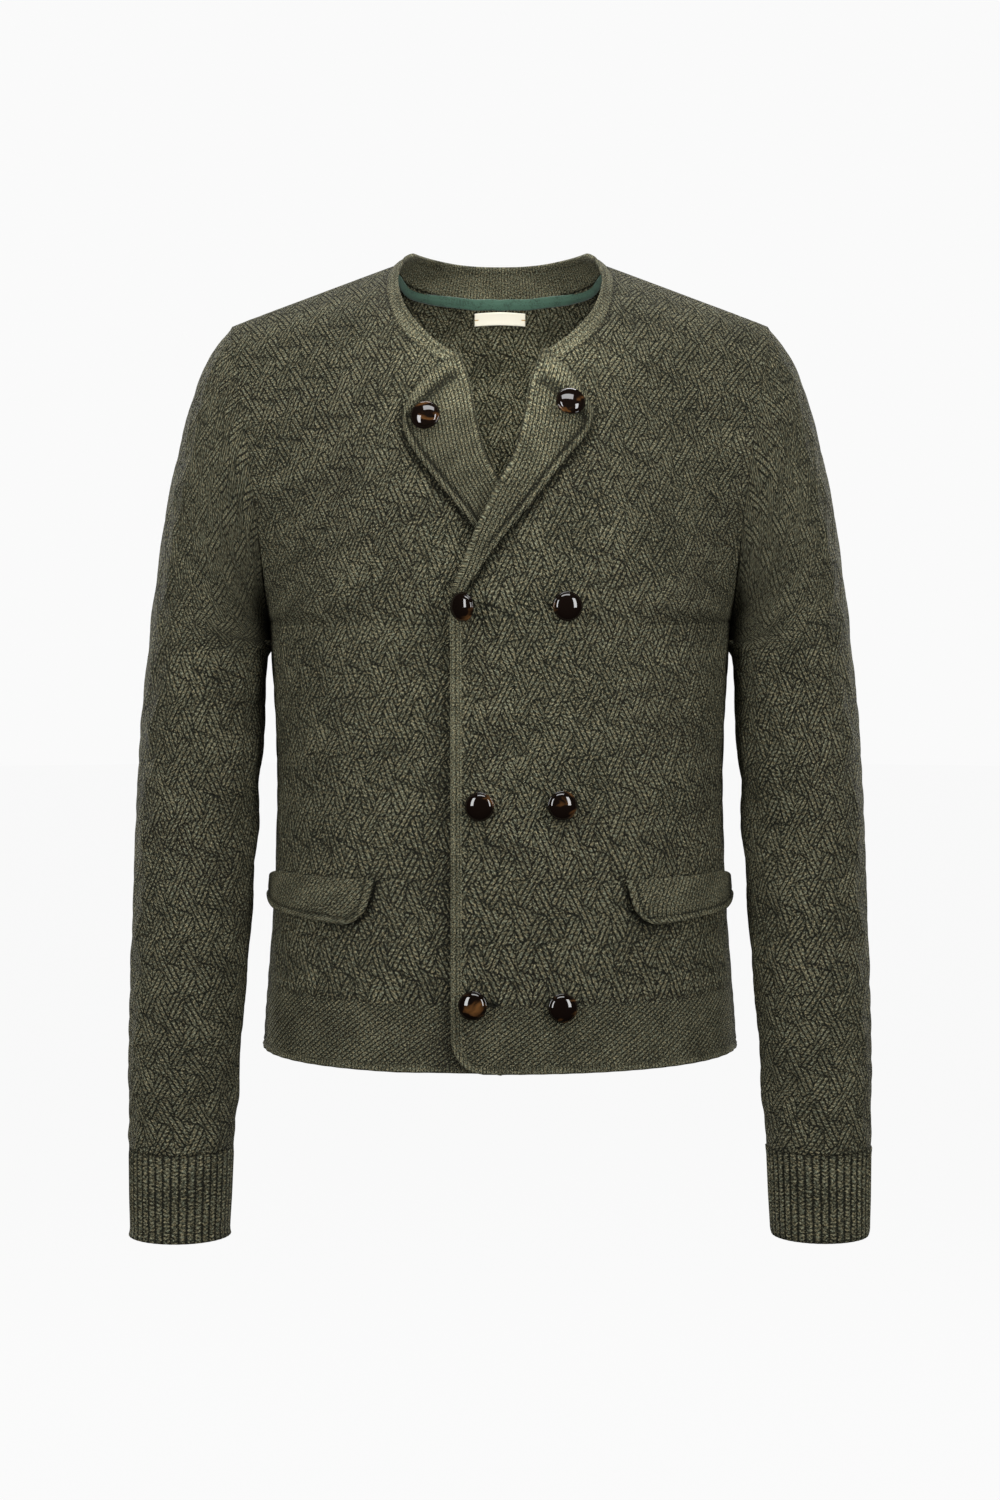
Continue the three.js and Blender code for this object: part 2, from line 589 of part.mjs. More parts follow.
// Round the armhole the walls are cut along its own plane, so their edges face out of the hole
const armholeOut = new Map();
for (let level = UNDERARM_LEVEL; level <= SHOULDER_LEVEL; level += 1) {
  [-1, 1].forEach((face) => [-1, 1].forEach((wearer) => {
    const { point, normal } = armhole(rowAt(level), face);
    point.x *= wearer;
    normal.x *= wearer;
    sharedNormals.set(keyOf(point), normal);
    armholeOut.set(keyOf(point), new THREE.Vector3(armOut.x * wearer, 0, armOut.z));
  }));
}

Object.entries(pieces).forEach(([name, grid]) => {
  const isSleeve = name.startsWith('sleeve');
  const pulled = grid.points.map((line, i) => line.map((point, j) => {
    if (!isEdge(grid, i, j)) return point;
    const key = keyOf(point);
    grid.normals[i][j] = sharedNormals.get(key).clone().normalize();
    const moved = point.clone();
    const towards = (other) => moved.addScaledVector(other.clone().sub(point).normalize(), SEAM_GAP / 2);
    if (armholeOut.has(key)) moved.addScaledVector(armholeOut.get(key), (isSleeve ? 0.5 : -0.5) * SEAM_GAP);
    else if (j === 0) towards(grid.points[i][1]);
    if (j === grid.rows && !armholeOut.has(key)) towards(grid.points[i][j - 1]);
    if (!grid.closed && i === 0) towards(grid.points[1][j]);
    if (!grid.closed && i === grid.columns) towards(grid.points[i - 1][j]);
    return moved;
  }));
  grid.points = pulled;
});

// Walls

// A closed wall: raised outer points, and inner points at every step-th column and row
function wall(grid, { thickness = CLOTH, rise = () => 0, slant = () => false, step = 2 }) {
  const { columns, rows, closed, points, normals } = grid;
  const positions = [];
  const triangles = [];
  const lines = points.length;
  const outer = [];
  const inner = [];
  points.forEach((line, i) => line.forEach((point, j) => {
    outer.push(positions.length);
    positions.push(point.clone().addScaledVector(normals[i][j], rise(i, j)));
    if (i % step || j % step) return;
    inner[i * (rows + 1) + j] = positions.length;
    positions.push(point.clone().addScaledVector(normals[i][j], -thickness));
  }));
  const out = (i, j) => outer[(i % lines) * (rows + 1) + j];
  const inn = (i, j) => inner[(i % lines) * (rows + 1) + j];
  const triangle = (a, b, c) => triangles.push(a, b, c);
  const quad = (a, b, c, d, crosses) => {
    if (crosses) {
      triangle(a, b, d);
      triangle(b, c, d);
    } else {
      triangle(a, b, c);
      triangle(a, c, d);
    }
  };
  for (let i = 0; i < columns; i += 1) {
    for (let j = 0; j < rows; j += 1) quad(out(i, j), out(i + 1, j), out(i + 1, j + 1), out(i, j + 1), slant(i, j));
  }
  for (let i = 0; i < columns; i += step) {
    for (let j = 0; j < rows; j += step) {
      quad(inn(i, j), inn(i, j + step), inn(i + step, j + step), inn(i + step, j), false);
    }
  }
  // A rim joins step outer edges to one inner edge
  const rim = (outerAt, innerAt, count) => {
    for (let k = 0; k < count; k += step) {
      const half = step / 2;
      for (let m = 0; m < step; m += 1) {
        const near = m < half ? innerAt(k) : innerAt(k + step);
        triangle(outerAt(k + m + 1), outerAt(k + m), near);
      }
      const turn = k + Math.ceil(half);
      triangle(outerAt(turn), innerAt(k), innerAt(k + step));
    }
  };
  rim((k) => out(k, 0), (k) => inn(k, 0), columns);
  rim((k) => out(columns - k, rows), (k) => inn(columns - k, rows), columns);
  if (!closed) {
    rim((k) => out(0, rows - k), (k) => inn(0, rows - k), rows);
    rim((k) => out(columns, k), (k) => inn(columns, k), rows);
  }
  const geometry = new THREE.BufferGeometry();
  geometry.setAttribute('position', new THREE.Float32BufferAttribute(positions.flatMap((p) => p.toArray()), 3));
  geometry.setIndex(triangles);
  return geometry;
}

function addMesh(name, geometry, finish) {
  const flat = geometry.index ? geometry.toNonIndexed() : geometry;
  flat.computeVertexNormals();
  const mesh = new THREE.Mesh(flat, new THREE.MeshStandardMaterial(FINISHES[finish]));
  mesh.name = name;
  group.add(mesh);
  return mesh;
}

// Relief of the knit: a trellis of crossing cables, and slanting ribs in the hem band

function cableRise(grid, hem) {
  const { columns, rows, closed, points } = grid;
  return (i, j) => {
    if (isEdge(grid, i, j) || (i + j) % 2) return 0;
    const cell = points[i][j].distanceTo(points[i][j + 1]);
    const room = ease(cell, 4, 12);
    const underneath = hem === 'under' ? 1 - ease(points[i][j].x, -66, -44) : 1;
    return columns && rows && (closed || i) ? CABLE_RISE * room * underneath : 0;
  };
}

const cableSlant = (hasHem) => (i, j) => {
  if (hasHem && j < HEM_BAND_ROWS) return false;
  return (i + j) % 2 === 1;
};

addMesh('front_left', wall(frontLeft, { rise: cableRise(frontLeft), slant: cableSlant(true) }), 'wool');
addMesh('front_right', wall(frontRight, { rise: cableRise(frontRight, 'under'), slant: cableSlant(true) }), 'wool');
addMesh('back', wall(back, { rise: cableRise(back), slant: cableSlant(true) }), 'wool');
['left', 'right'].forEach((wearer) => {
  const tube = pieces[`sleeve_${wearer}`];
  addMesh(`sleeve_${wearer}`, wall(tube, { rise: cableRise(tube), slant: cableSlant(false) }), 'wool');
  const ribbed = pieces[`cuff_${wearer}`];
  addMesh(`cuff_${wearer}`, wall(ribbed, { rise: (i) => (i % 2 ? 0 : RIB_RISE) }), 'band');
});
addMesh('neck_band', wall(band, {}), 'band');

// Lapels: the corner of each front turned back over it

function lapelGrid(wearer) {
  const table = LAPEL[wearer];
  return makeGrid(LAPEL_COLUMNS, LAPEL_ROWS, (i, j) => {
    const [s, t] = [i / LAPEL_COLUMNS, j / LAPEL_ROWS];
    const rollZ = track(table, 'along', 'rollZ', t);
    const rollX = track(FRONT_EDGE, 'z', 'x', rollZ);
    const bulge = LAPEL_TOP_BULGE * Math.sin(Math.PI * s) * Math.max(0, 4 * t - 3);
    const x = mix(rollX, track(table, 'along', 'edgeX', t), s) + bulge * 0.7;
    const z = mix(rollZ, track(table, 'along', 'edgeZ', t), s) + bulge * 0.7;
    const site = locate(x, z);
    const height = LAPEL_LIFT + LAPEL_CLOTH + s * s;
    const point = frontPoint(site, wearer);
    const normal = bodyNormal('front', site.across, site.row);
    if (wearer === 'right') normal.x = -normal.x;
    return point.addScaledVector(normal, height);
  });
}

// The same grid with its columns in the other order
function reversed(grid) {
  return makeGrid(grid.columns, grid.rows, (i, j) => grid.points[grid.columns - i][j]);
}

const lapels = { left: lapelGrid('left'), right: reversed(lapelGrid('right')) };
Object.entries(lapels).forEach(([wearer, grid]) => {
  grid.normals = gridNormals(grid);
  const edgeBand = wearer === 'left' ? LAPEL_COLUMNS - 1 : 1;
  const rise = (i, j) => (i === edgeBand && j > 0 && j < LAPEL_ROWS ? EDGE_RISE : 0);
  addMesh(`lapel_${wearer}`, wall(grid, { thickness: LAPEL_CLOTH, rise }), 'band');
});

// Pocket flaps, laid over the fronts

function flapGrid(wearer) {
  const sideRow = (z) => rowAt(track(SIDE, 'z', 'row', z));
  const grid = makeGrid(FLAP_COLUMNS, FLAP_ROWS, (i, j) => {
    const [s, t] = [i / FLAP_COLUMNS, j / FLAP_ROWS];
    const rounding = FLAP.cornerRise * Math.max(0, 1 - 6 * s) ** 2;
    const bottom = FLAP.topZ - mix(FLAP.dropInner, FLAP.dropSide, s) + rounding;
    const row = sideRow(mix(bottom, FLAP.topZ, t));
    const inner = acrossAt('front', row, mix(FLAP.bottomX, FLAP.topX, t));
    const outer = solve((across) => bodyPoint('front', across, row).y, FLAP.sideY, 0.5, 1);
    const across = mix(inner, outer, s);
    const point = bodyPoint('front', across, row);
    point.addScaledVector(bodyNormal('front', across, row), FLAP_LIFT + CLOTH);
    if (wearer === 'right') point.x = -point.x;
    return point;
  });
  return wearer === 'right' ? reversed(grid) : grid;
}

['left', 'right'].forEach((wearer) => {
  const grid = flapGrid(wearer);
  grid.normals = gridNormals(grid);
  const rise = (i, j) => (isEdge(grid, i, j) || (i + j) % 2 ? 0 : EDGE_RISE / 2);
  addMesh(`pocket_flap_${wearer}`, wall(grid, { rise }), 'band');
});

// Neck tape and label, on the inner face of the back

const innerPoint = (grid, i, j) => grid.points[i][j].clone().addScaledVector(grid.normals[i][j], -CLOTH);
const backBandColumn = BAND_HALF_COLUMNS - NECK_COLUMNS_BACK;

function tapePoint(i, j) {
  const seam = innerPoint(back, SHOULDER_COLUMNS + i, SHOULDER_LEVEL);
  const seamNormal = back.normals[SHOULDER_COLUMNS + i][SHOULDER_LEVEL];
  const next = j === 0
    ? innerPoint(back, SHOULDER_COLUMNS + i, SHOULDER_LEVEL - 2)
    : innerPoint(band, backBandColumn + i, 2);
  const edge = next.sub(seam).setLength(j === 1 ? 0 : TAPE_HALF_HEIGHT);
  return seam.add(edge).addScaledVector(seamNormal, -TAPE_CLEARANCE);
}

const tape = makeGrid(NECK_COLUMNS_BACK, 2, (i, j) => tapePoint(2 * i, j));
tape.normals = gridNormals(tape);
addMesh('neck_tape', wall(tape, { thickness: TAPE_CLOTH, step: 1 }), 'velvet');

const labelGrid = makeGrid(2, 1, (i, j) => {
  const middle = BACK_HALF_COLUMNS;
  const side = i - 1;
  const at = (level) => {
    const centre = innerPoint(back, middle, level);
    const edge = innerPoint(back, middle + 2 * side, level);
    const share = side === 0 ? 0 : LABEL_HALF_WIDTH / Math.abs(edge.x - centre.x);
    return centre.lerp(edge, share);
  };
  const top = at(SHOULDER_LEVEL);
  const down = at(SHOULDER_LEVEL - 2).sub(top);
  return top.addScaledVector(down.normalize(), LABEL_DROP + (1 - j) * LABEL_HEIGHT);
});
labelGrid.normals = gridNormals(labelGrid);
labelGrid.points.forEach((line, i) => line.forEach((point, j) => {
  point.addScaledVector(labelGrid.normals[i][j], -TAPE_CLEARANCE);
}));
addMesh('label', wall(labelGrid, { thickness: LABEL_CLOTH, step: 1 }), 'label');

// Buttons on short shanks

function addButton({ name, x, z, on, tipX, tipZ }) {
  const wearer = name.endsWith('left') ? 'left' : 'right';
  const onRightLapel = on === 'lapel' && wearer === 'right';
  const site = locate(Math.abs(x), z);
  if (x < 0) site.across = -site.across;
  const normal = bodyNormal('front', site.across, site.row);
  const seat = bodyPoint('front', site.across, site.row);
  if (onRightLapel) seat.addScaledVector(normal, -underlapDip(seat.x, seat.z));
  const tip = new THREE.Vector3(-Math.tan(THREE.MathUtils.degToRad(tipX)), 0, Math.tan(THREE.MathUtils.degToRad(tipZ)));
  const axis = normal.clone().add(tip).normalize();
  const tilt = Math.sin(normal.angleTo(axis));
  const ground = on === 'lapel' ? LAPEL_LIFT + LAPEL_CLOTH + EDGE_RISE : CABLE_RISE;
  seat.addScaledVector(normal, ground + BUTTON_CLEARANCE + SHANK_RADIUS * tilt);
  const shank = 2 + BUTTON_RADIUS * tilt;
  const profile = [
    [0, 0], [SHANK_RADIUS, 0], [SHANK_RADIUS, shank], [BUTTON_RADIUS * 0.93, shank + 0.4], [BUTTON_RADIUS, shank + 2.2],
    [BUTTON_RADIUS * 0.74, shank + BUTTON_HEIGHT * 0.8], [0, shank + BUTTON_HEIGHT],
  ].map(([radius, height]) => new THREE.Vector2(radius, height));
  const geometry = mergeVertices(new THREE.LatheGeometry(profile, BUTTON_SIDES)
    .deleteAttribute('normal').deleteAttribute('uv'), 0.001);
  const mesh = addMesh(name, withoutFlatTriangles(geometry), 'horn');
  mesh.position.copy(seat);
  mesh.quaternion.setFromUnitVectors(new THREE.Vector3(0, 1, 0), axis);
}

// The pole triangles of a lathe that have no area are dropped
function withoutFlatTriangles(geometry) {
  const index = Array.from(geometry.index.array);
  const kept = [];
  for (let k = 0; k < index.length; k += 3) {
    const corners = index.slice(k, k + 3);
    if (new Set(corners).size === 3) kept.push(...corners);
  }
  geometry.setIndex(kept);
  return geometry;
}

BUTTONS.forEach(addButton);

export default group;
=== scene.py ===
"""Knitted cardigan: the cloth, trimmings and buttons that are seen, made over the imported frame."""
import math
from bisect import bisect_left
from functools import lru_cache

import bmesh
import bpy
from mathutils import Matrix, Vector, noise


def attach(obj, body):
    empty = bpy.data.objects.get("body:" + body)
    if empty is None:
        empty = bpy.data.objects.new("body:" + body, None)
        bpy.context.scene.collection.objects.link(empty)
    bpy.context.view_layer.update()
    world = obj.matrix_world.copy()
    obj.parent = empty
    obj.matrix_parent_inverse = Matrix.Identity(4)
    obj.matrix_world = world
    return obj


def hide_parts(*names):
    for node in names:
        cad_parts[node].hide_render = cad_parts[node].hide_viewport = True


bl_info = {
    "name": "Cardigan in woven-cable knit",
    "version": (1, 0, 0),
    "blender": (4, 5, 0),
    "location": "View3D > Sidebar > Cardigan",
    "description": "Knitted cloth, neck tape, buttons and stage for a double-breasted cardigan",
    "category": "Object",
}

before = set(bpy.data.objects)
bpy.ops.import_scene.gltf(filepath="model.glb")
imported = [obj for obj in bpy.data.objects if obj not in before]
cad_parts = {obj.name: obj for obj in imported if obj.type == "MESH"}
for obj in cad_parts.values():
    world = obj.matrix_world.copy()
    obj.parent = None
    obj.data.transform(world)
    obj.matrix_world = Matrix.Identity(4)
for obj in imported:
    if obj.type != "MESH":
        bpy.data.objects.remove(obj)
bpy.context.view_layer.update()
MM = 0.001

# Body surface in millimetres. The first number of each line is the row that it stands for:
# hem 0, underarm 14, shoulder seam 28.
UNDERARM_ROW = 14
SHOULDER_ROW = 28
SIDE = (  # row, z, x, y of the side seam
    (0, -602.5, 184.8, 20), (2, -572.5, 182.9, 20), (5, -497.4, 176.8, 20), (8, -422.2, 173.2, 17),
    (10, -372.1, 172.4, 13), (12, -322.1, 173.8, 9), (14, -272, 177, 5),
)
SIDE_X = tuple((z, x) for row, z, x, y in SIDE)
SIDE_ROWS = tuple((z, row) for row, z, x, y in SIDE)
CENTRE = {  # row, y, z of the centre line, then reach and rise of the first handle of each row's curve
    "front": (
        (0, -112, -602.5, 118, 0), (2, -112, -572.5, 118, 0), (5, -109, -497.4, 116, 0), (8, -107, -422.2, 113, 0),
        (11, -112, -347.1, 112, 0), (14, -119, -272, 112, 0), (16, -119.5, -226, 110, 0), (18, -116, -178, 106, 0),
        (20, -108, -132, 98, 0), (22, -94, -88, 90, 0), (24, -72, -47, 80, -2), (26, -36, -4, 72, -12),
        (28, 14, 30, 68, -24.5),
    ),
    "back": (
        (0, 113, -602.5, 116, 0), (2, 112, -572.5, 115, 0), (5, 107, -497.4, 112, 0), (8, 102, -422.2, 110, 0),
        (11, 107, -347.1, 110, 0), (14, 115, -272, 110, 0), (16, 118, -226, 108, 0), (18, 117.5, -178, 104, 0),
        (20, 112, -132, 98, 0), (22, 102, -88, 92, 0), (24, 87, -46, 82, 0), (25.3, 74, -21, 76, -3),
        (26, 62, -4, 73, -8), (28, 14, 30, 68, -24.5),
    ),
}
EDGE_HANDLE = {  # row, then direction and length of the last handle, from the side seam or armhole inwards
    "front": (
        (0, 0, -1, 0, 72), (8, 0, -1, 0, 68), (14, 0, -1, 0, 68), (17, -0.6, -0.8, 0, 62),
        (21, -0.93, -0.36, 0.08, 60), (24, -0.93, -0.2, 0.3, 60), (28, -0.93, 0.05, 0.37, 62),
    ),
    "back": (
        (0, 0, 1, 0, 56), (8, 0, 1, 0, 50), (14, 0, 1, 0, 62), (17, -0.55, 0.83, 0, 60),
        (21, -0.92, 0.38, 0.08, 60), (24, -0.93, 0.22, 0.3, 60), (28, -0.93, 0.05, 0.37, 62),
    ),
}
UNDERARM = Vector((177, 5, -272))
SHOULDER_POINT = Vector((204, 0, -47.5))
ARMHOLE_HALF_DEPTH = 58
ARMHOLE_HOLLOW = 5
SLEEVE = (  # row, outer x and z, inner x and z, half depth, middle y, from the armhole to the wrist
    (0, 204, -47.5, 177, -272, 58, 2.5), (1, 221, -70, 178.3, -273.6, 60, 2.5),
    (2, 232.5, -96, 178.7, -275.4, 62, 2.5), (4, 246, -144, 178.9, -279, 65, 2.5),
    (6, 256, -193, 178.9, -283, 67, 2.5), (8, 264, -243, 178.9, -288, 68, 2),
    (10, 269.7, -292, 179, -294, 67, 1), (14, 277.3, -380, 184.3, -381, 62, -1), (18, 282, -468, 190, -469, 55, -5),
    (22, 284.5, -556, 196.5, -557, 48, -11), (26, 286, -634, 202.5, -634, 41, -17),
    (28, 285.5, -675, 205.5, -675, 37, -20),
)
SLEEVE_ROW_COUNT = 28
SLEEVE_ROW_LENGTH = 24.2
SLEEVE_CABLE = (24.5, 48)  # the cables' spacing round and along a sleeve
CUFF_END = (285, 208.5, 33.5, -23)  # outer x, inner x, half depth, middle y
CUFF_HEIGHT = 68
CUFF_RIBS = 40
NECK_BACK = (  # station from the middle (0) to the shoulder (4), x, y of the seam, and the band's reach from it
    (0, 0, 74, 0, -9, 27), (1, 27, 71, -3, -9, 26), (2, 53, 60, -7.5, -8, 23.5), (3, 73, 40, -11.5, -6, 20),
    (4, 82, 14, -11, -3, 12.5),
)
NECK_FRONT = (  # z, x of the neck seam in front, and the band's reach from it
    (-85.5, 29.5, 2.6, 5, 11.5), (-78.5, 44, -2.5, 4.5, 10), (-70, 57.5, -5.6, 4.5, 9), (-60.5, 69, -6.8, 4.5, 8.4),
    (-47, 78, -8, 4.5, 7.6), (-29.5, 84, -7.5, 4.5, 6.8), (-16, 85.5, -8, 4, 7), (-8, 85, -9, 2, 9),
    (-3.5, 82, -11, -3, 12.5),
)
FRONT_EDGE = (  # z, x of the front edge, which goes on as the roll line
    (-620, -36), (-290, -36), (-263, -36), (-248, -31.5), (-231, -24), (-208, -15.5), (-190, -7), (-174, 1),
    (-157, 10.5), (-145, 15.3), (-119, 21.2), (-100, 24.4), (-85.5, 29.5), (-74, 33),
)
LAPEL = {  # share of the way up, z on the roll line, x and z of the free edge, drawn for the wearer's left
    "left": (
        (0, -251, -28.5, -252), (0.12, -236, -17.5, -237), (0.3, -208, 1, -212), (0.5, -172, 22, -187),
        (0.7, -139, 45, -157), (0.88, -104, 62.5, -136), (1, -75, 67, -121),
    ),
    "right": (
        (0, -193, 13.5, -211), (0.2, -176, 23, -197), (0.45, -148, 43, -173), (0.7, -119, 61, -150),
        (0.88, -95, 68.5, -134), (1, -76, 69.5, -119),
    ),
}
FLAP = {"top_x": 91.5, "top_z": -461.5, "drop_inner": 34, "drop_side": 28, "side_y": 8,
        "corner": 8, "length": 112}
SIGHT_SLOPE = 0.093  # x over y of the camera's line of sight past the garment's side
TAPE = {"wall": 1, "half_width": 4.4, "half_length": 80, "gap": 0.8, "end_drop": 9}
LABEL = {"wall": 0.5, "width": 41, "height": 11.5, "gap": 1.3, "below_seam": 5}
BUTTONS = (  # node, x, z, what it is sewn to, degrees tipped towards -X and up
    ("button_lapel_right", -53, -124, "lapel", 0, 4), ("button_lapel_left", 49.2, -116.5, "lapel", 0, 12),
    ("button_top_right", -20.8, -260, "front", 38, 0), ("button_top_left", 48.1, -260, "front", 0, 4),
    ("button_middle_right", -14.2, -405.5, "front", 6, 2), ("button_middle_left", 44.6, -405, "front", 0, 4),
    ("button_bottom_right", -19, -551.3, "front", 8, 4), ("button_bottom_left", 45.2, -553.5, "front", 0, 2),
)

CLOTH = 3
LAPEL_CLOTH = 2.6
LAPEL_LIFT = 1.9
FLAP_LIFT = 1.9
BUTTON_RADIUS = 10.8
BUTTON_RIM = 0.7  # how far the rounded rim stands out from the dome
BUTTON_DOME = 4.1
BUTTON_POLE = 0.02  # radius at the axis, where the profile's end is merged to a point
SHANK_RADIUS = 3.2
SHANK_HEIGHT = 2
FRONT_FACING = 8
HEM_BAND_TOP = -551
HEM_EDGE_TOP = -597
HEM_SLANT = math.radians(37)
HEM_STRIP = 9.3
CABLE_SIZES = (  # height, then the cables' spacing across and up the cloth
    (-760, 24.5, 48), (-480, 24, 47), (-260, 21, 41), (80, 20.5, 40),
)
CABLE_HALF_WIDTH = 0.3
CABLE_LEAN_RIGHT = 1.0
CABLE_LEAN_LEFT = 0.85
CABLE_WALE = 0.18
CABLE_TAPER = 2.6  # how fast a cable sinks towards its ends
CABLE_DRIFT = (0.09, 0.06)  # how far it strays, across and up, as shares of the spacing
HEM_RELIEF = 0.35
HEM_SHADE = 0.15
SEAM_DEPTH = 0.4
SEAM_WIDTH = 1.6
BAND_HALF_LENGTH = 235
LAPEL_LENGTH = 190

# Levels go up the side of a panel, from the hem to the shoulder seam, and columns from its middle outwards
LEVELS = 30
GORGE_LEVEL = 22
NECK_COLUMNS = 8
SHOULDER_COLUMNS = 10

CAMERA_PLACE = (0, -1.9, -0.2556)
CAMERA_LENS = 59.22
CAMERA_DOWN = 3.4787  # degrees
FILL_PLACE = (0, -1.85, -0.1)
AIM = (0, 0, -0.33)  # the middle of the garment


# Numbers from the tables

def track(table, at):
    """The values of a table at a key, on a smooth line through all its rows."""
    last = len(table) - 1
    hi = min(max(bisect_left([line[0] for line in table], at), 1), last)
    lo = hi - 1
    span = table[hi][0] - table[lo][0]
    t = min(max((at - table[lo][0]) / span, 0), 1)
    before, after = max(lo - 1, 0), min(hi + 1, last)
    start = (hi if lo else hi, before if lo else lo)
    end = (after, lo) if hi < last else (hi, lo)
    values = []
    for column in range(1, len(table[0])):
        def slope(a, b):
            return (table[a][column] - table[b][column]) / (table[a][0] - table[b][0])
        values.append(
            table[lo][column] * (2 * t**3 - 3 * t**2 + 1) + slope(*start) * span * (t**3 - 2 * t**2 + t)
            + table[hi][column] * (3 * t**2 - 2 * t**3) + slope(*end) * span * (t**3 - t**2)
        )
    return values


def mix(a, b, t):
    return a + (b - a) * t


def ease(x, low, high):
    t = min(max((x - low) / (high - low), 0), 1)
    return t * t * (3 - 2 * t)


def ridge_at(x, place, width):
    """A smooth bump of height 1."""
    return math.exp(-((x - place) / width) ** 2)


def solve(rising, target, low, high):
    """Where a rising function reaches a value."""
    for _ in range(22):
        middle = (low + high) / 2
        if rising(middle) < target:
            low = middle
        else:
            high = middle
    return (low + high) / 2


# Body surface

ARM_AXIS = SHOULDER_POINT - UNDERARM
ARM_HALF_HEIGHT = ARM_AXIS.length / 2
ARM_UP = ARM_AXIS.normalized()
ARM_CENTRE = (SHOULDER_POINT + UNDERARM) / 2
ARM_STEPS = 180


@lru_cache(maxsize=None)
def armhole_arcs():
    arcs = [0]
    for step in range(1, ARM_STEPS + 1):
        angle = math.pi * (step - 0.5) / ARM_STEPS
        arcs.append(arcs[-1] + math.hypot(ARM_HALF_HEIGHT * math.sin(angle), ARMHOLE_HALF_DEPTH * math.cos(angle)))
    return arcs


@lru_cache(maxsize=None)
def armhole(row, side):
    """A point of the armhole and its angle. side is -1 in front and 1 behind."""
    arcs = armhole_arcs()
    wanted = (row - UNDERARM_ROW) / (SHOULDER_ROW - UNDERARM_ROW) * arcs[-1]
    step = min(max(bisect_left(arcs, wanted), 1), ARM_STEPS)
    part = (wanted - arcs[step - 1]) / (arcs[step] - arcs[step - 1])
    angle = math.pi - math.pi * (step - 1 + part) / ARM_STEPS
    depth = math.sin(angle) * side
    offset = Vector((-ARMHOLE_HOLLOW * depth * depth, ARMHOLE_HALF_DEPTH * depth, 0))
    return ARM_CENTRE + ARM_UP * (ARM_HALF_HEIGHT * math.cos(angle)) + offset, angle


@lru_cache(maxsize=None)
def row_curve(face, row):
    """The four points of a row's curve, from the centre line to the side seam or armhole."""
    y, z, reach, rise = track(CENTRE[face], row)
    start = Vector((0, y, z))
    if row <= UNDERARM_ROW:
        side_z, side_x, side_y = track(SIDE, row)
        end = Vector((side_x, side_y, side_z))
    else:
        end = armhole(row, -1 if face == "front" else 1)[0]
    x, y, z, length = track(EDGE_HANDLE[face], row)
    return start, start + Vector((reach, 0, rise)), end + Vector((x, y, z)).normalized() * length, end


def body_point(face, across, row):
    a, b, c, d = row_curve(face, row)
    t = abs(across)
    u = 1 - t
    point = a * (u * u * u) + b * (3 * u * u * t) + c * (3 * u * t * t) + d * (t * t * t)
    if across < 0:
        point.x = -point.x
    return point


def body_normal(face, across, row):
    d = 0.01
    along = body_point(face, across + d, row) - body_point(face, across - d, row)
    low, high = max(row - d, 0), min(row + d, SHOULDER_ROW)
    up = body_point(face, across, high) - body_point(face, across, low)
    normal = along.cross(up).normalized()
    return normal if face == "front" else -normal


def across_at(face, row, x):
    size = solve(lambda across: body_point(face, across, row).x, abs(x), 0, 1)
    return -size if x < 0 else size


def locate(x, z):
    """Surface coordinates of a point of the front seen at x and z."""
    row = solve(lambda r: body_point("front", across_at("front", r, x), r).z, z, 0, SHOULDER_ROW)
    return across_at("front", row, x), row


def crossing(line, row):
    """Where a line seen from the front crosses a row."""
    across = 0
    for _ in range(8):
        across = across_at("front", row, track(line, body_point("front", across, row).z)[0])
    return across


GORGE_ROW = locate(NECK_FRONT[0][1], NECK_FRONT[0][0])[1]
SHOULDER_NECK = across_at("front", SHOULDER_ROW, NECK_BACK[-1][1])


def under_dip(x, z):
    """How much deeper the right front lies where the left one covers it, most of all under its own lapel."""
    extra = 5.6 * math.exp(-((x + 2) ** 2 + (z + 196) ** 2) / (2 * 38**2))
    return ease(x, -80, -42) * 4.4 + ease(x, -60, -16) * extra


def front_point(across, row, wearer, lift=0):
    """A point of a front, lifted off it. The wearer's right front is a mirror image that lies deeper."""
    point = body_point("front", across, row)
    if wearer == "right":
        lift -= under_dip(-point.x, point.z)
    if lift:
        point += body_normal("front", across, row) * lift
    if wearer == "right":
        point.x = -point.x
    return point


# Knit

@lru_cache(maxsize=None)
def row_arcs(face, quarter_row):
    """Lengths along a row of the cloth from the centre line to the side, at forty steps across."""
    points = [body_point(face, k / 40, quarter_row / 4) for k in range(41)]
    arcs = [0]
    for before, after in zip(points, points[1:]):
        arcs.append(arcs[-1] + (after - before).length)
    return arcs


def arc_at(face, across, row):
    """Length along the cloth from the centre line, negative across it."""
    quarter = min(max(row, 0) * 4, 4 * SHOULDER_ROW - 0.001)
    step = min(abs(across), 1) * 40
    k = min(int(step), 39)
    low, high = (mix(arcs[k], arcs[k + 1], step - k) for arcs in (
        row_arcs(face, int(quarter)), row_arcs(face, int(quarter) + 1)))
    return math.copysign(mix(low, high, quarter - int(quarter)), across)


@lru_cache(maxsize=None)
def cable_rows(face):
    """Height, length along the cloth and cable count at every quarter row of a body panel."""
    lines = []
    length = count = 0
    for step in range(4 * SHOULDER_ROW + 1):
        point = body_point(face, 0.35, step / 4)
        if lines:
            run = (point - before).length
            length += run
            count += run / track(CABLE_SIZES, point.z)[1]
        before = point
        lines.append((step / 4, length, count))
    return tuple(lines)


def wander(point, s, t):
    """Cable coordinates drawn a little off true, as in a hand-fed knit."""
    place = point * 0.021
    across, up = CABLE_DRIFT
    return s + across * noise.noise(place), t + up * noise.noise(place + Vector((31, 7, 3)))


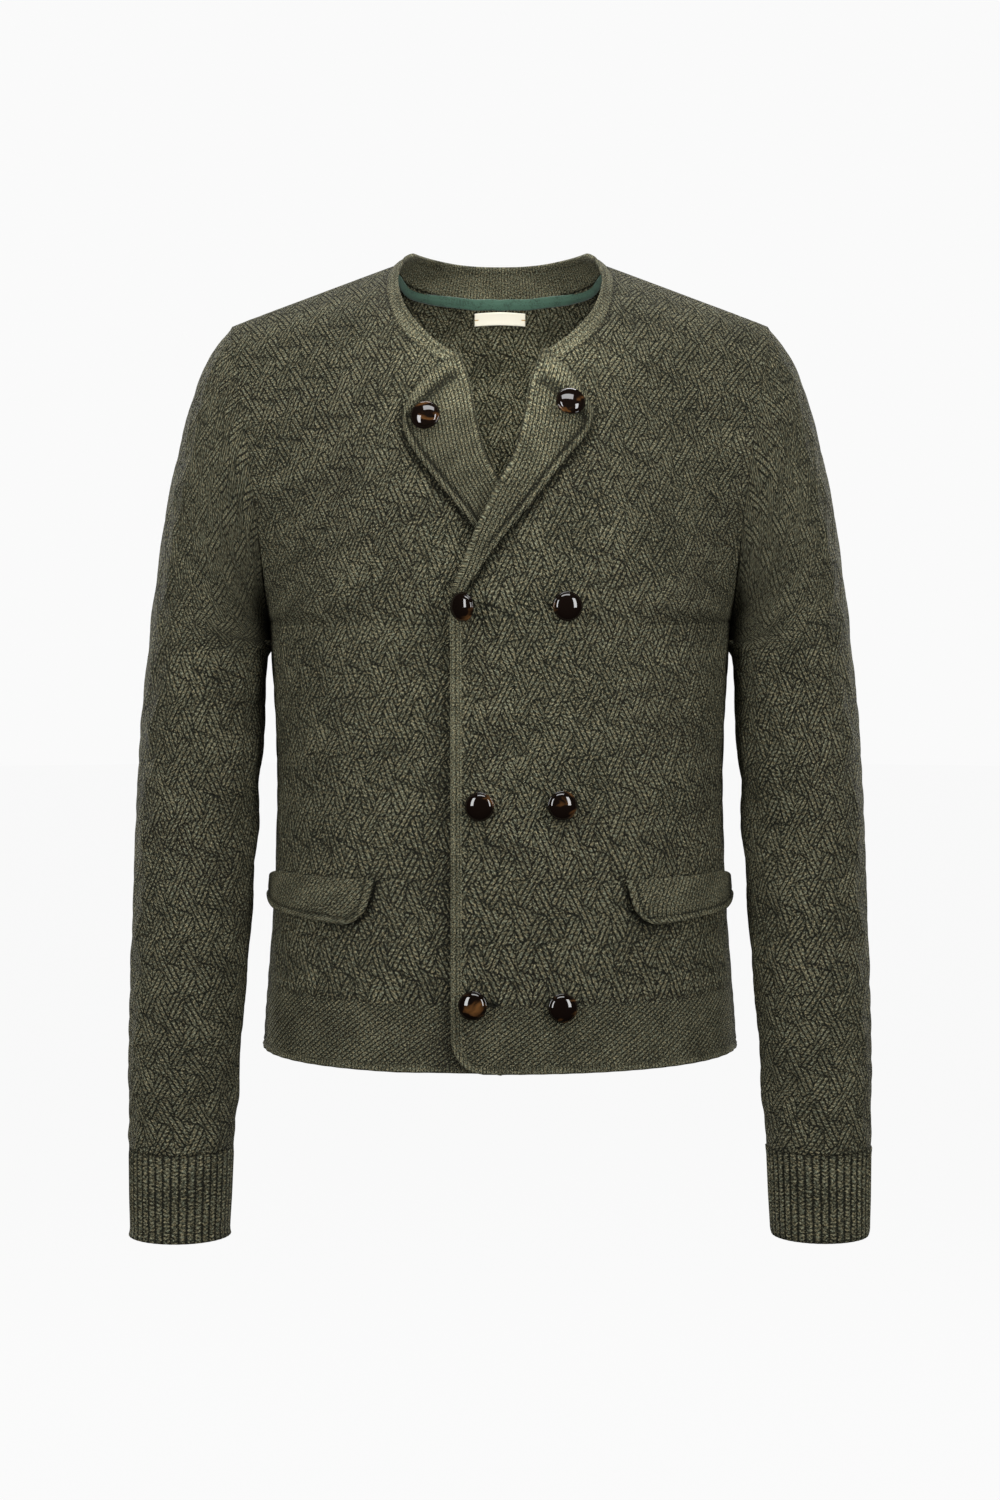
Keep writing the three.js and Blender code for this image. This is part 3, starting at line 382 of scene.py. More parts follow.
def cable_height(s, t):
    """Height of the crossing cables, from -0.2 in the dimples between them to 0.5 on their middles."""
    heights = [0.3]
    for shift, lean in ((0, -CABLE_LEAN_RIGHT), (0.5, CABLE_LEAN_LEFT)):
        along = t - shift - round(t - shift)
        across = s - shift + lean * along
        across -= round(across)
        heights.append(1 - (across / CABLE_HALF_WIDTH) ** 2 - CABLE_TAPER * along * along)
    return max(heights) - 0.5


def slant_height(s, t):
    """Height of the slanting ribs of the hem, on coordinates in millimetres."""
    return math.cos(2 * math.pi * (s * math.sin(HEM_SLANT) - t * math.cos(HEM_SLANT)) / HEM_STRIP)


def panel_knit(relief, cable_at, plain_at, z):
    """Height of the knit on a front or the back, the depth of the seam over the hem band, which is also painted as
    shade in it, and how much darker the band is painted.
    """
    above = ease(z, HEM_BAND_TOP - 2, HEM_BAND_TOP + 4)
    knitted = relief * cable_height(*cable_at) * above + HEM_RELIEF * slant_height(*plain_at) * (1 - above)
    seam = SEAM_DEPTH * ridge_at(z, HEM_BAND_TOP, SEAM_WIDTH)
    return knitted - seam, seam, HEM_SHADE * (1 - above)


def panel_material(polygon):
    """Number of a face's material by its height: cables, the band's slanting ribs or its plain lower edge."""
    height = polygon.center.z / MM
    return 0 if height > HEM_BAND_TOP else 2 if height > HEM_EDGE_TOP else 1


def link(name, bm):
    """Makes an object of a finished mesh."""
    mesh = bpy.data.meshes.new(name)
    bm.to_mesh(mesh)
    bm.free()
    piece = bpy.data.objects.new(name, mesh)
    bpy.context.scene.collection.objects.link(piece)
    return piece


def cloth(name, columns, rows, place, closed=False):
    """A sheet of columns by rows cells.

    place(i, j) gives a point, cable and plain knit coordinates, a relief in mm, and its painted shade, which is a
    painted highlight where it is below zero.
    """
    bm = bmesh.new()
    bmesh.ops.create_grid(bm, x_segments=columns, y_segments=rows, size=0.5)
    cable = bm.loops.layers.uv.new("cable")
    plain = bm.loops.layers.uv.new("plain")
    crease = bm.verts.layers.float.new("crease")
    sites = {}
    for vert in bm.verts:
        i, j = round((vert.co.x + 0.5) * columns), round((vert.co.y + 0.5) * rows)
        point, cable_at, plain_at, relief, depth = place(i, j)
        vert.co = point
        # The last value that place gives is the point's painted shade, kept on the mesh for the knit's colour
        vert[crease] = depth
        sites[vert] = (i, j, cable_at, plain_at, relief)
    bm.normal_update()
    moves = [(vert, vert.normal * sites[vert][4]) for vert in bm.verts]
    for vert, move in moves:
        vert.co += move
    for face in bm.faces:
        face.smooth = True
        for loop in face.loops:
            loop[cable].uv = sites[loop.vert][2]
            loop[plain].uv = sites[loop.vert][3]
    for vert in bm.verts:
        vert.co *= MM
    if closed:
        bmesh.ops.remove_doubles(bm, verts=bm.verts, dist=0.05 * MM)
        bmesh.ops.recalc_face_normals(bm, faces=bm.faces)
    return link(name, bm)


def wall(piece, thickness):
    """Gives a sheet its thickness, inwards."""
    solidify = piece.modifiers.new("Cloth", "SOLIDIFY")
    solidify.thickness = thickness * MM
    solidify.offset = -1


def facing(piece, materials, chosen=None):
    """Gives a piece its materials, and each face the one whose number chosen(face) gives."""
    for material in materials:
        piece.data.materials.append(material)
    if chosen:
        for polygon in piece.data.polygons:
            polygon.material_index = chosen(polygon)


def finished(piece, node):
    """Hides the frame's part that a piece replaces and hangs the piece on the frame's root, so that it moves with it.
    """
    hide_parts(node)
    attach(piece, "root")


# Materials

def linear(value, share=1):
    """Linear colour from an sRGB hex string, darkened or lightened to a share of it."""
    parts = [int(value[k:k + 2], 16) / 255 for k in (0, 2, 4)]
    return tuple(share * (p / 12.92 if p <= 0.04045 else ((p + 0.055) / 1.055) ** 2.4) for p in parts) + (1.0,)


def add(tree, kind, inputs=None, **settings):
    """Adds a node, sets its properties, and sets or links its inputs."""
    node = tree.nodes.new(kind)
    for key, value in settings.items():
        setattr(node, key, value)
    for key, value in (inputs or {}).items():
        if isinstance(value, bpy.types.NodeSocket):
            tree.links.new(value, node.inputs[key])
        else:
            node.inputs[key].default_value = value
    return node


def new_material(title):
    """A material of this name and its node tree, still empty."""
    material = bpy.data.materials.new(title)
    material.use_nodes = True
    material.node_tree.nodes.clear()
    return material, material.node_tree


def work_out(tree, names, steps):
    """Adds the Math nodes of a table of steps: a name for the result, an operation and its inputs."""
    for name, operation, *inputs in steps:
        values = {k: names.get(value, value) for k, value in enumerate(inputs)}
        names[name] = add(tree, "ShaderNodeMath", values, operation=operation).outputs[0]
    return names


# The cables in units of their own spacing. s runs across the cloth and t up it.
# Cables that lean right lie on whole rows, those that lean left on the half rows between.
CABLE_STEPS = (
    ("row_right", "ROUND", "t"),
    ("along_right", "SUBTRACT", "t", "row_right"),
    ("lean_right", "MULTIPLY", "along_right", -CABLE_LEAN_RIGHT),
    ("strip_right", "ADD", "s", "lean_right"),
    ("number_right", "ROUND", "strip_right"),
    ("across_right", "SUBTRACT", "strip_right", "number_right"),
    ("half_t", "SUBTRACT", "t", 0.5),
    ("row_left", "ROUND", "half_t"),
    ("along_left", "SUBTRACT", "half_t", "row_left"),
    ("lean_left", "MULTIPLY", "along_left", CABLE_LEAN_LEFT),
    ("half_s", "SUBTRACT", "s", 0.5),
    ("strip_left", "ADD", "half_s", "lean_left"),
    ("number_left", "ROUND", "strip_left"),
    ("across_left", "SUBTRACT", "strip_left", "number_left"),
    ("side_right", "DIVIDE", "across_right", CABLE_HALF_WIDTH),
    ("side_right_2", "MULTIPLY", "side_right", "side_right"),
    ("side_left", "DIVIDE", "across_left", CABLE_HALF_WIDTH),
    ("side_left_2", "MULTIPLY", "side_left", "side_left"),
    ("end_right", "MULTIPLY", "along_right", "along_right"),
    ("end_left", "MULTIPLY", "along_left", "along_left"),
    ("low_right", "MULTIPLY_ADD", "end_right", CABLE_TAPER, "side_right_2"),
    ("low_left", "MULTIPLY_ADD", "end_left", CABLE_TAPER, "side_left_2"),
    ("right_on_top", "LESS_THAN", "low_right", "low_left"),
    ("apart", "SUBTRACT", "low_right", "low_left"),
    ("apart_size", "ABSOLUTE", "apart"),
    ("apart_far", "MULTIPLY", "apart_size", -7.0),
    ("brink", "EXPONENT", "apart_far"),
    ("left_on_top", "SUBTRACT", 1.0, "right_on_top"),
    ("strip_a", "MULTIPLY", "strip_right", "right_on_top"),
    ("strip", "MULTIPLY_ADD", "strip_left", "left_on_top", "strip_a"),
    ("across_a", "MULTIPLY", "across_right", "right_on_top"),
    ("across", "MULTIPLY_ADD", "across_left", "left_on_top", "across_a"),
    ("wale_at", "DIVIDE", "across", CABLE_WALE),
    ("fleck_at", "DIVIDE", "strip", CABLE_WALE),
    ("course_at", "MULTIPLY", "t", 14.5),
)

# Ribs of three wales that slant up to the right, on coordinates in millimetres
HEM_STEPS = (
    ("across_s", "MULTIPLY", "s", math.sin(HEM_SLANT)),
    ("across", "MULTIPLY_ADD", "t", -math.cos(HEM_SLANT), "across_s"),
    ("along_s", "MULTIPLY", "s", math.cos(HEM_SLANT)),
    ("along", "MULTIPLY_ADD", "t", math.sin(HEM_SLANT), "along_s"),
    ("wale_at", "DIVIDE", "across", HEM_STRIP / 3),
    ("fleck_at", "DIVIDE", "across", HEM_STRIP / 3),
    ("course_at", "DIVIDE", "along", 2.7),
)

# One wale of stocking stitch: a rounded rib with a groove beside it, and V-shaped loops one above another
STITCH_STEPS = (
    ("wale", "ROUND", "wale_at"),
    ("beside", "SUBTRACT", "wale_at", "wale"),
    ("beside_size", "ABSOLUTE", "beside"),
    ("v_shift", "MULTIPLY", "beside_size", 1.1),
    ("loop_at", "SUBTRACT", "course_at", "v_shift"),
    ("wale_number", "ROUND", "fleck_at"),
    ("staggered", "MULTIPLY_ADD", "wale_number", 0.37, "loop_at"),
    ("loop_turn", "MULTIPLY", "staggered", 2 * math.pi),
    ("loop", "SINE", "loop_turn"),
    ("groove", "MULTIPLY", "beside_size", 2.0),
    ("groove_2", "POWER", "groove", 3.2),
    ("middle", "MULTIPLY", "beside_size", -14.0),
    ("cleft", "EXPONENT", "middle"),
)


def knit(name, props, steps, uv_map, depth, contrast):
    """Heathered wool yarn, carded before it was spun, so each loop mixes light and dark fibres; painted shade and
    highlights of the stitches and the mesh are mixed into its colour.
    """
    material, tree = new_material(name)
    coordinates = add(tree, "ShaderNodeUVMap", uv_map=uv_map)
    parted = add(tree, "ShaderNodeSeparateXYZ", {0: coordinates.outputs[0]})
    names = {"s": parted.outputs[0], "t": parted.outputs[1]}
    work_out(tree, names, steps)
    work_out(tree, names, STITCH_STEPS)
    fleck_place = add(tree, "ShaderNodeCombineXYZ", {0: names["fleck_at"], 1: names["course_at"]})
    # Fibres lie along the yarn, so the flecks are longer than they are wide
    streak = add(tree, "ShaderNodeMapping", {0: fleck_place.outputs[0], 3: (2.6, 1.8, 1.0)})
    fleck = add(tree, "ShaderNodeTexNoise", {0: streak.outputs[0], 2: 1.0, 3: 2.0, 4: 0.8})
    broad = add(tree, "ShaderNodeTexNoise", {0: fleck_place.outputs[0], 2: 0.11, 3: 2.0})
    tone = add(tree, "ShaderNodeTexNoise", {0: streak.outputs[0], 2: 0.7, 3: 2.0})
    # The painted shade that each piece sets on its points
    crease = add(tree, "ShaderNodeAttribute", attribute_name="crease")
    names.update(fleck=fleck.outputs[0], broad=broad.outputs[0], tone=tone.outputs[0], crease=crease.outputs["Fac"])
    work_out(tree, names, (
        ("fleck_out", "SUBTRACT", "fleck", 0.5),
        ("fleck_share", "MULTIPLY_ADD", "fleck_out", 3.1, 0.48),
        ("broad_out", "SUBTRACT", "broad", 0.5),
        ("with_broad", "MULTIPLY_ADD", "broad_out", 0.5, "fleck_share"),
        # The stitches' relief is painted into the colour as well: a painted highlight on the loops, painted shade in
        # the grooves and clefts
        ("with_loop", "MULTIPLY_ADD", "loop", 0.1 * contrast, "with_broad"),
        # Grooves come and go along the yarn
        ("open", "MULTIPLY_ADD", "tone", 1.6, 0.2),
        ("groove_open", "MULTIPLY", "groove_2", "open"),
        ("with_groove", "MULTIPLY_ADD", "groove_open", -0.85 * contrast, "with_loop"),
        ("with_cleft", "MULTIPLY_ADD", "cleft", -0.1 * contrast, "with_groove"),
        # Painted shade from the mesh's attribute: darker in grooves and seams and under lapels and flaps, lighter
        # where it paints a highlight on rims
        ("shade", "MULTIPLY_ADD", "crease", -0.32, "with_cleft"),
    ))
    if "brink" in names:
        # The ends and sides of a cable are in its neighbour's shade
        work_out(tree, names, (("brink_open", "MULTIPLY", "brink", "open"),
                               ("shade", "MULTIPLY_ADD", "brink_open", -0.62, "shade")))
    ramp = add(tree, "ShaderNodeValToRGB", {0: names["shade"]})
    stops = ((0.0, props.dark), (0.35, props.middle), (1.0, props.light))
    while len(ramp.color_ramp.elements) < len(stops):
        ramp.color_ramp.elements.new(0.5)
    for element, (place, colour) in zip(ramp.color_ramp.elements, stops):
        element.position = place
        element.color = linear(colour)
    # Brown and green fibres side by side
    hues = add(tree, "ShaderNodeValToRGB", {0: tone.outputs[0]})
    stops = ((0.38, (1.07, 0.98, 0.89, 1)), (0.62, (0.9, 1.0, 1.08, 1)))
    for element, (place, tint) in zip(hues.color_ramp.elements, stops):
        element.position, element.color = place, tint
    dyed = add(tree, "ShaderNodeMix", {0: 1.0, 6: ramp.outputs[0], 7: hues.outputs[0]}, data_type="RGBA",
               blend_type="MULTIPLY")
    work_out(tree, names, (
        ("round_rib", "MULTIPLY", "groove_2", -1.0),
        ("loops", "MULTIPLY_ADD", "loop", 0.32, "round_rib"),
        ("clefts", "MULTIPLY_ADD", "cleft", -0.3, "loops"),
        ("relief", "MULTIPLY_ADD", "fleck_out", 0.9, "clefts"),
    ))
    bump = add(tree, "ShaderNodeBump", {"Strength": 0.9, "Distance": depth * MM, "Height": names["relief"]})
    shader = add(tree, "ShaderNodeBsdfPrincipled", {
        "Base Color": dyed.outputs[2], "Roughness": 0.92, "IOR": 1.5, "Specular IOR Level": 0.15,
        "Sheen Weight": 0.08, "Sheen Roughness": 0.6, "Sheen Tint": linear("7d7b60"), "Normal": bump.outputs[0],
    })
    add(tree, "ShaderNodeOutputMaterial", {0: shader.outputs[0]})
    return material


def plain_steps(wale, course):
    """Stocking stitch of a gauge in millimetres, on coordinates in millimetres."""
    return (
        ("wale_at", "DIVIDE", "s", wale),
        ("fleck_at", "DIVIDE", "s", wale),
        ("course_at", "DIVIDE", "t", course),
    )


@lru_cache(maxsize=None)
def yarn(kind):
    """The knit material of a kind, made once."""
    props = bpy.context.scene.cardigan_wool
    if kind == "cable":
        return knit("Woven-cable knit, heather wool", props, CABLE_STEPS, "cable", 0.9, 1.0)
    if kind == "hem":
        return knit("Slanting rib, heather wool", props, HEM_STEPS, "plain", 0.7, 0.8)
    gauges = {
        "facing": ("Fine-gauge facing, heather wool", 2.8, 2.3, 0.5, 0.4),
        "lapel": ("Reverse of the knit, heather wool", 3.0, 2.5, 0.8, 0.75),
        "flap": ("Fine slanting knit, heather wool", 2.9, 2.5, 0.8, 0.75),
        "cuff": ("Cuff rib, heather wool", 1.0, 3.0, 1.0, 1.0),
    }
    title, wale, course, depth, contrast = gauges[kind]
    return knit(title, props, plain_steps(wale, course), "plain", depth, contrast)


# Pieces

class WoolSettings(bpy.types.PropertyGroup):
    # The darkest colour, reached by dark fibres and by the painted shade in grooves and creases
    dark: bpy.props.StringProperty(name="Dark fibres and painted shade", description="sRGB hex of the grooves", default="12120c")
    middle: bpy.props.StringProperty(name="Yarn", description="sRGB hex of the yarn", default="3c3b2d")
    # The lightest colour, reached by light flecks and, a little, by painted highlights
    light: bpy.props.StringProperty(name="Light fibres", description="sRGB hex of the flecks", default="827f68")
    relief: bpy.props.FloatProperty(
        name="Cable relief", description="Height of the cables over the cloth, in millimetres", default=1.2, min=0)


class TrimSettings(bpy.types.PropertyGroup):
    velvet: bpy.props.StringProperty(name="Velvet", description="sRGB hex of the neck tape", default="344c3f")
    label: bpy.props.StringProperty(name="Label", description="sRGB hex of the woven label", default="ddd8c6")
    horn: bpy.props.StringProperty(name="Horn", description="sRGB hex of the buttons' dark part", default="0d0806")
    amber: bpy.props.StringProperty(name="Amber", description="sRGB hex of the buttons' clear part", default="6a4726")


class StageSettings(bpy.types.PropertyGroup):
    floor_depth: bpy.props.FloatProperty(
        name="Floor", description="Depth of the floor below the frame's origin", default=1.3, unit="LENGTH")
    backdrop: bpy.props.FloatProperty(name="Backdrop", description="Brightness of the paper behind", default=0.957)
    daylight: bpy.props.FloatProperty(name="Daylight", description="Strength of the light all round", default=0.34)


FRONT_COLUMNS = 122
FRONT_ROWS = 252
EDGE_COLUMNS = 12
EDGE_ZONE = 14
FRONT_CORNER = (24, 27)
BUTTONHOLES = ((-9.5, -260), (-4.5, -551))
FLAP_OUTLINE = (  # x and z along a flap's inner end and lower edge
    (92, -462), (93.5, -468), (95, -474), (97, -480), (100, -486), (105, -491), (111, -494), (118, -495),
    (125, -494.5),
)


@lru_cache(maxsize=None)
def front_edge_at(row):
    """Where the front edge, roll line or neck seam crosses a row."""
    if row >= SHOULDER_ROW:
        return SHOULDER_NECK
    across = crossing(NECK_FRONT if row >= GORGE_ROW else FRONT_EDGE, row)
    wide, tall = FRONT_CORNER
    depth = tall - (body_point("front", 0, row).z - body_point("front", 0, 0).z)
    if depth > 0:
        cut = wide * (1 - math.sqrt(max(1 - (depth / tall) ** 2, 0)))
        across = across_at("front", row, body_point("front", across, row).x + cut)
    return across


def corner_distance(point, from_edge, length, sign):
    """Distance from the free edge of a front, round its lower corner."""
    wide, tall = FRONT_CORNER
    beside = FRONT_EDGE[0][1] + wide - sign * point.x
    if beside > 0 and length < tall:
        return max((wide + tall) / 2 * (1 - math.hypot(beside / wide, 1 - length / tall)), 0)
    return min(from_edge, length)


def lapel_outline(wearer):
    """Points along the free edge of a lapel, seen from the front, and along its top edge."""
    side = [track(LAPEL[wearer], k / 40)[1:] for k in range(41)]
    roll_z, edge_x, edge_z = track(LAPEL[wearer], 1)
    roll_x = track(FRONT_EDGE, roll_z)[0]
    return side + [(mix(roll_x, edge_x, k / 16), mix(roll_z, edge_z, k / 16)) for k in range(16)]


def make_front(wearer):
    sign = 1 if wearer == "left" else -1
    lines = cable_rows("front")
    relief = bpy.context.scene.cardigan_wool.relief
    from_edges = {}
    # Edges that cast a painted shadow on the front beneath: the lapel's free edge and the flap's inner end and lower
    # edge, with the shadow's strength
    shades = ((lapel_outline(wearer), 1.0), (FLAP_OUTLINE, 0.9))

    def place(i, j):
        row = SHOULDER_ROW * j / FRONT_ROWS
        k = i if sign > 0 else FRONT_COLUMNS - i
        edge = front_edge_at(row)
        # Narrow columns beside the edge, for its facing
        zone = EDGE_ZONE / ((arc_at("front", edge + 0.05, row) - arc_at("front", edge, row)) / 0.05)
        if k <= EDGE_COLUMNS:
            across = edge + zone * k / EDGE_COLUMNS
        else:
            across = mix(edge + zone, 1, (k - EDGE_COLUMNS) / (FRONT_COLUMNS - EDGE_COLUMNS))
        across = min(across, 1)
        arc = arc_at("front", across, row)
        from_edge = arc - arc_at("front", edge, row)
        from_edges[i, j] = from_edge
        to_side = arc_at("front", 1, row) - arc
        length, count = track(lines, row)
        point = front_point(across, row, wearer)
        s, t = wander(point, sign * arc / track(CABLE_SIZES, point.z)[0], count)
        fade = ease(to_side, 2, 12) * ease(SHOULDER_ROW - row, 0.1, 0.6)
        fade *= ease(from_edge, 5, 11) if row < GORGE_ROW else ease(from_edge, 0, 6)
        if wearer == "right":
            fade *= 1 - 0.5 * ease(point.x, -66, -44)
        knitted, seam, shade = panel_knit(relief, (s, t), (sign * arc, length), point.z)
        # A rolled free edge and a thin ridge where the facing meets the cables
        roll = 0
        if row < GORGE_ROW:
            near = corner_distance(point, from_edge, length, sign)
            roll = 0.9 * ridge_at(near, 1.5, 1.6) - 0.3 * ridge_at(near, 4.4, 1.2) + 0.35 * ridge_at(near, 6.8, 1.1)
        # Painted shade in the seam over the hem band, in the groove beside the facing and along the neck seam, and a
        # painted highlight on the rolled free edge
        crease = seam * fade
        if row < GORGE_ROW:
            crease = max(crease, 0.3 * ridge_at(near, 4.4, 1.1)) - 0.3 * ridge_at(near, 0, 1.4)
        else:
            crease += 0.7 * ridge_at(from_edge, 0, 2)
        x, z = sign * point.x, point.z
        # Painted shadow on the front just beside the lapel's and the flap's edges
        for edge_line, reach in shades:
            if x < 130 and -520 < z < -70:
                nearest = min(math.hypot(x - a, z - b) for a, b in edge_line)
                crease += reach * ridge_at(nearest, 0, 4.5)
        if wearer == "right":
            # The left front lies over this one and shades it
            crease += 0.45 * ease(point.x, -62, -38) * ease(-point.z, 235, 265)
        # A buttonhole is a dip in the mesh with painted shade in it
        hole = 0
        for a, b in BUTTONHOLES if wearer == "left" else ():
            hole = max(hole, ridge_at(x, a, 3.4) * ridge_at(z, b, 1.7))
        lift = knitted * fade + roll - 0.7 * hole
        return point, (s, t), (sign * arc, length), lift, crease + 2.2 * hole + shade

    piece = cloth(f"Front_{wearer}", FRONT_COLUMNS, FRONT_ROWS, place)

    def chosen(polygon):
        i, j = polygon_site(polygon, FRONT_COLUMNS)
        row = SHOULDER_ROW * (j + 0.5) / FRONT_ROWS
        if row < GORGE_ROW and from_edges[i, j] < FRONT_FACING:
            return 1
        return panel_material(polygon)

    facing(piece, [yarn("cable"), yarn("facing"), yarn("hem")], chosen)
    wall(piece, CLOTH)
    finished(piece, f"front_{wearer}")


def polygon_site(polygon, columns):
    """Column and row of a cell of a grid, from its index."""
    return polygon.index % columns, polygon.index // columns


BACK_COLUMNS = 184
BACK_ROWS = 236


@lru_cache(maxsize=None)
def back_neck(column):
    """Surface coordinates of the neck seam behind. Two columns make a station of the table."""
    if column >= NECK_COLUMNS:
        return SHOULDER_NECK, SHOULDER_ROW
    x, y = track(NECK_BACK, column / 2)[:2]
    row = solve(lambda r: -body_point("back", across_at("back", r, x), r).y, -y, SHOULDER_ROW - 6, SHOULDER_ROW)
    return across_at("back", row, x), row


def row_at(level):
    if level <= UNDERARM_ROW:
        return level
    if level <= GORGE_LEVEL:
        return mix(UNDERARM_ROW, GORGE_ROW, (level - UNDERARM_ROW) / (GORGE_LEVEL - UNDERARM_ROW))
    return mix(GORGE_ROW, SHOULDER_ROW, (level - GORGE_LEVEL) / (LEVELS - GORGE_LEVEL))


@lru_cache(maxsize=None)
def back_top(column):
    if column <= NECK_COLUMNS:
        return back_neck(column)
    return mix(SHOULDER_NECK, 1, (column - NECK_COLUMNS) / SHOULDER_COLUMNS), SHOULDER_ROW


def back_site(s, t):
    """Surface coordinates of the back, s from the middle to the side and t from the hem up."""
    level_row = row_at(LEVELS * t)
    top_across, top_row = back_top((NECK_COLUMNS + SHOULDER_COLUMNS) * s)
    middle_row = back_neck(0)[1]
    left_row = level_row * middle_row / SHOULDER_ROW
    across = mix(s, top_across, t)
    row = mix(0, top_row, t) + mix(left_row, level_row, s) - mix(0, mix(middle_row, SHOULDER_ROW, s), t)
    return across, row


class CARDIGAN_OT_fronts(bpy.types.Operator):
    """Make both fronts in woven-cable knit with their facings and hem bands"""
    bl_idname = "cardigan.fronts"
    bl_label = "Fronts"

    def execute(self, context):
        for wearer in ("left", "right"):
            make_front(wearer)
        return {"FINISHED"}


class CARDIGAN_OT_back(bpy.types.Operator):
    """Make the back"""
    bl_idname = "cardigan.back"
    bl_label = "Back"

    def execute(self, context):
        relief = context.scene.cardigan_wool.relief
        lines = cable_rows("back")

        def place(i, j):
            half = 1 - 2 * i / BACK_COLUMNS
            size, t = abs(half), j / BACK_ROWS
            across, row = back_site(size, t)
            row = min(row, SHOULDER_ROW)
            point = body_point("back", across, row)
            length, count = track(lines, row)
            arc = arc_at("back", across, row)
            if half < 0:
                point.x, arc = -point.x, -arc
            cable_at = wander(point, arc / track(CABLE_SIZES, point.z)[0], count)
            fade = ease(1 - size, 0.01, 0.05) * ease(1 - t, 0.004, 0.03)
            knitted, seam, shade = panel_knit(relief, cable_at, (arc, length), point.z)
            # Painted shade in the seam over the hem band, and the band painted a little darker
            return point, cable_at, (arc, length), knitted * fade, seam + shade

        piece = cloth("Back", BACK_COLUMNS, BACK_ROWS, place)
        facing(piece, [yarn("cable"), yarn("facing"), yarn("hem")], panel_material)
        wall(piece, CLOTH)
        finished(piece, "back")
        return {"FINISHED"}


# Sleeves

def sleeve_ring(row, angle):
    out_x, out_z, in_x, in_z, depth, y = track(SLEEVE, row)
    middle = Vector(((out_x + in_x) / 2, y, (out_z + in_z) / 2))
    half = Vector(((out_x - in_x) / 2, 0, (out_z - in_z) / 2))
    return middle + half * math.cos(angle) + Vector((0, math.sin(angle) * depth, 0))


SLEEVE_COLUMNS = 124
SLEEVE_ROWS = 250


def sleeve_point(share, row):
    """share goes round from the underarm up the back and down the front."""
    behind = share <= 0.5
    half = 2 * share if behind else 2 - 2 * share
    level = mix(UNDERARM_ROW, LEVELS, half)
    seam, seam_angle = armhole(row_at(level), 1 if behind else -1)
    if row == 0:
        return seam.copy()
    angle = mix(seam_angle, math.pi * (1 - half), ease(row, 0, 12))
    point = sleeve_ring(row, angle if behind else -angle)
    point.x -= math.sin(seam_angle) ** 2 * ARMHOLE_HOLLOW * (1 - ease(row, 0, 4))
    return point


def sleeve_folds(share, row):
    """Soft creases at the inner elbow and above the cuff, in millimetres."""
    inner = math.cos(2 * math.pi * share)
    elbow = math.exp(-((row - 15.5) / 3.2) ** 2) * (0.5 + 0.5 * inner)
    wrist = math.exp(-((row - 26) / 2.2) ** 2)
    wave = math.sin(1.9 * row + 3.2 * math.sin(2 * math.pi * share + 0.6))
    ripple = noise.noise(Vector((5 * math.cos(2 * math.pi * share), 5 * math.sin(2 * math.pi * share), row * 0.45)))
    return 1.3 * elbow * wave + 0.9 * wrist * wave + 1.2 * ripple


class CARDIGAN_OT_sleeves(bpy.types.Operator):
    """Make the sleeves"""
    bl_idname = "cardigan.sleeves"
    bl_label = "Sleeves"

    def execute(self, context):
        relief = context.scene.cardigan_wool.relief
        girths = {}
        spacing, repeat = SLEEVE_CABLE
        for wearer in ("left", "right"):
            def place(i, j):
                share = i / SLEEVE_COLUMNS
                if wearer == "right":
                    share = 1 - share
                row = SLEEVE_ROW_COUNT * j / SLEEVE_ROWS
                point = sleeve_point(share, row)
                # The cloth touches the body's side just under the arm
                touch = ease(point.z, -300, -291) * (1 - ease(point.z, -272, -262)) * ridge_at(point.y, 5, 32)
                touch *= ease(math.cos(2 * math.pi * share), 0.4, 0.8)
                point.x -= max(point.x - track(SIDE_X, point.z)[0] - 0.2, 0) * touch
                if row not in girths:
                    ring = [sleeve_point(k / 36, row) for k in range(37)]
                    girths[row] = sum((ring[k + 1] - ring[k]).length for k in range(36))
                arc = (share - 0.5) * girths[row]
                length = SLEEVE_ROW_LENGTH * row
                s, count = -arc / spacing, -length / repeat
                if wearer == "right":
                    point.x, s = -point.x, -s
                s, count = wander(point, s, count)
                fade = ease(row, 0.05, 0.5) * ease(SLEEVE_ROW_COUNT - row, 0.05, 0.4)
                # Smooth under the arm, where the sleeve lies against the body
                under = ease(math.cos(2 * math.pi * share), 0.3, 0.9)
                fade *= 1 - under * (1 - ease(row, 8, 12))
                lift = (relief * cable_height(s, count) + sleeve_folds(share, row) * ease(row, 1, 5)) * fade
                return point, (s, count), (s * spacing, -length), lift, 0

            piece = cloth(f"Sleeve_{wearer}", SLEEVE_COLUMNS, SLEEVE_ROWS, place, closed=True)
            facing(piece, [yarn("cable")])
            wall(piece, CLOTH)
            finished(piece, f"sleeve_{wearer}")
        return {"FINISHED"}


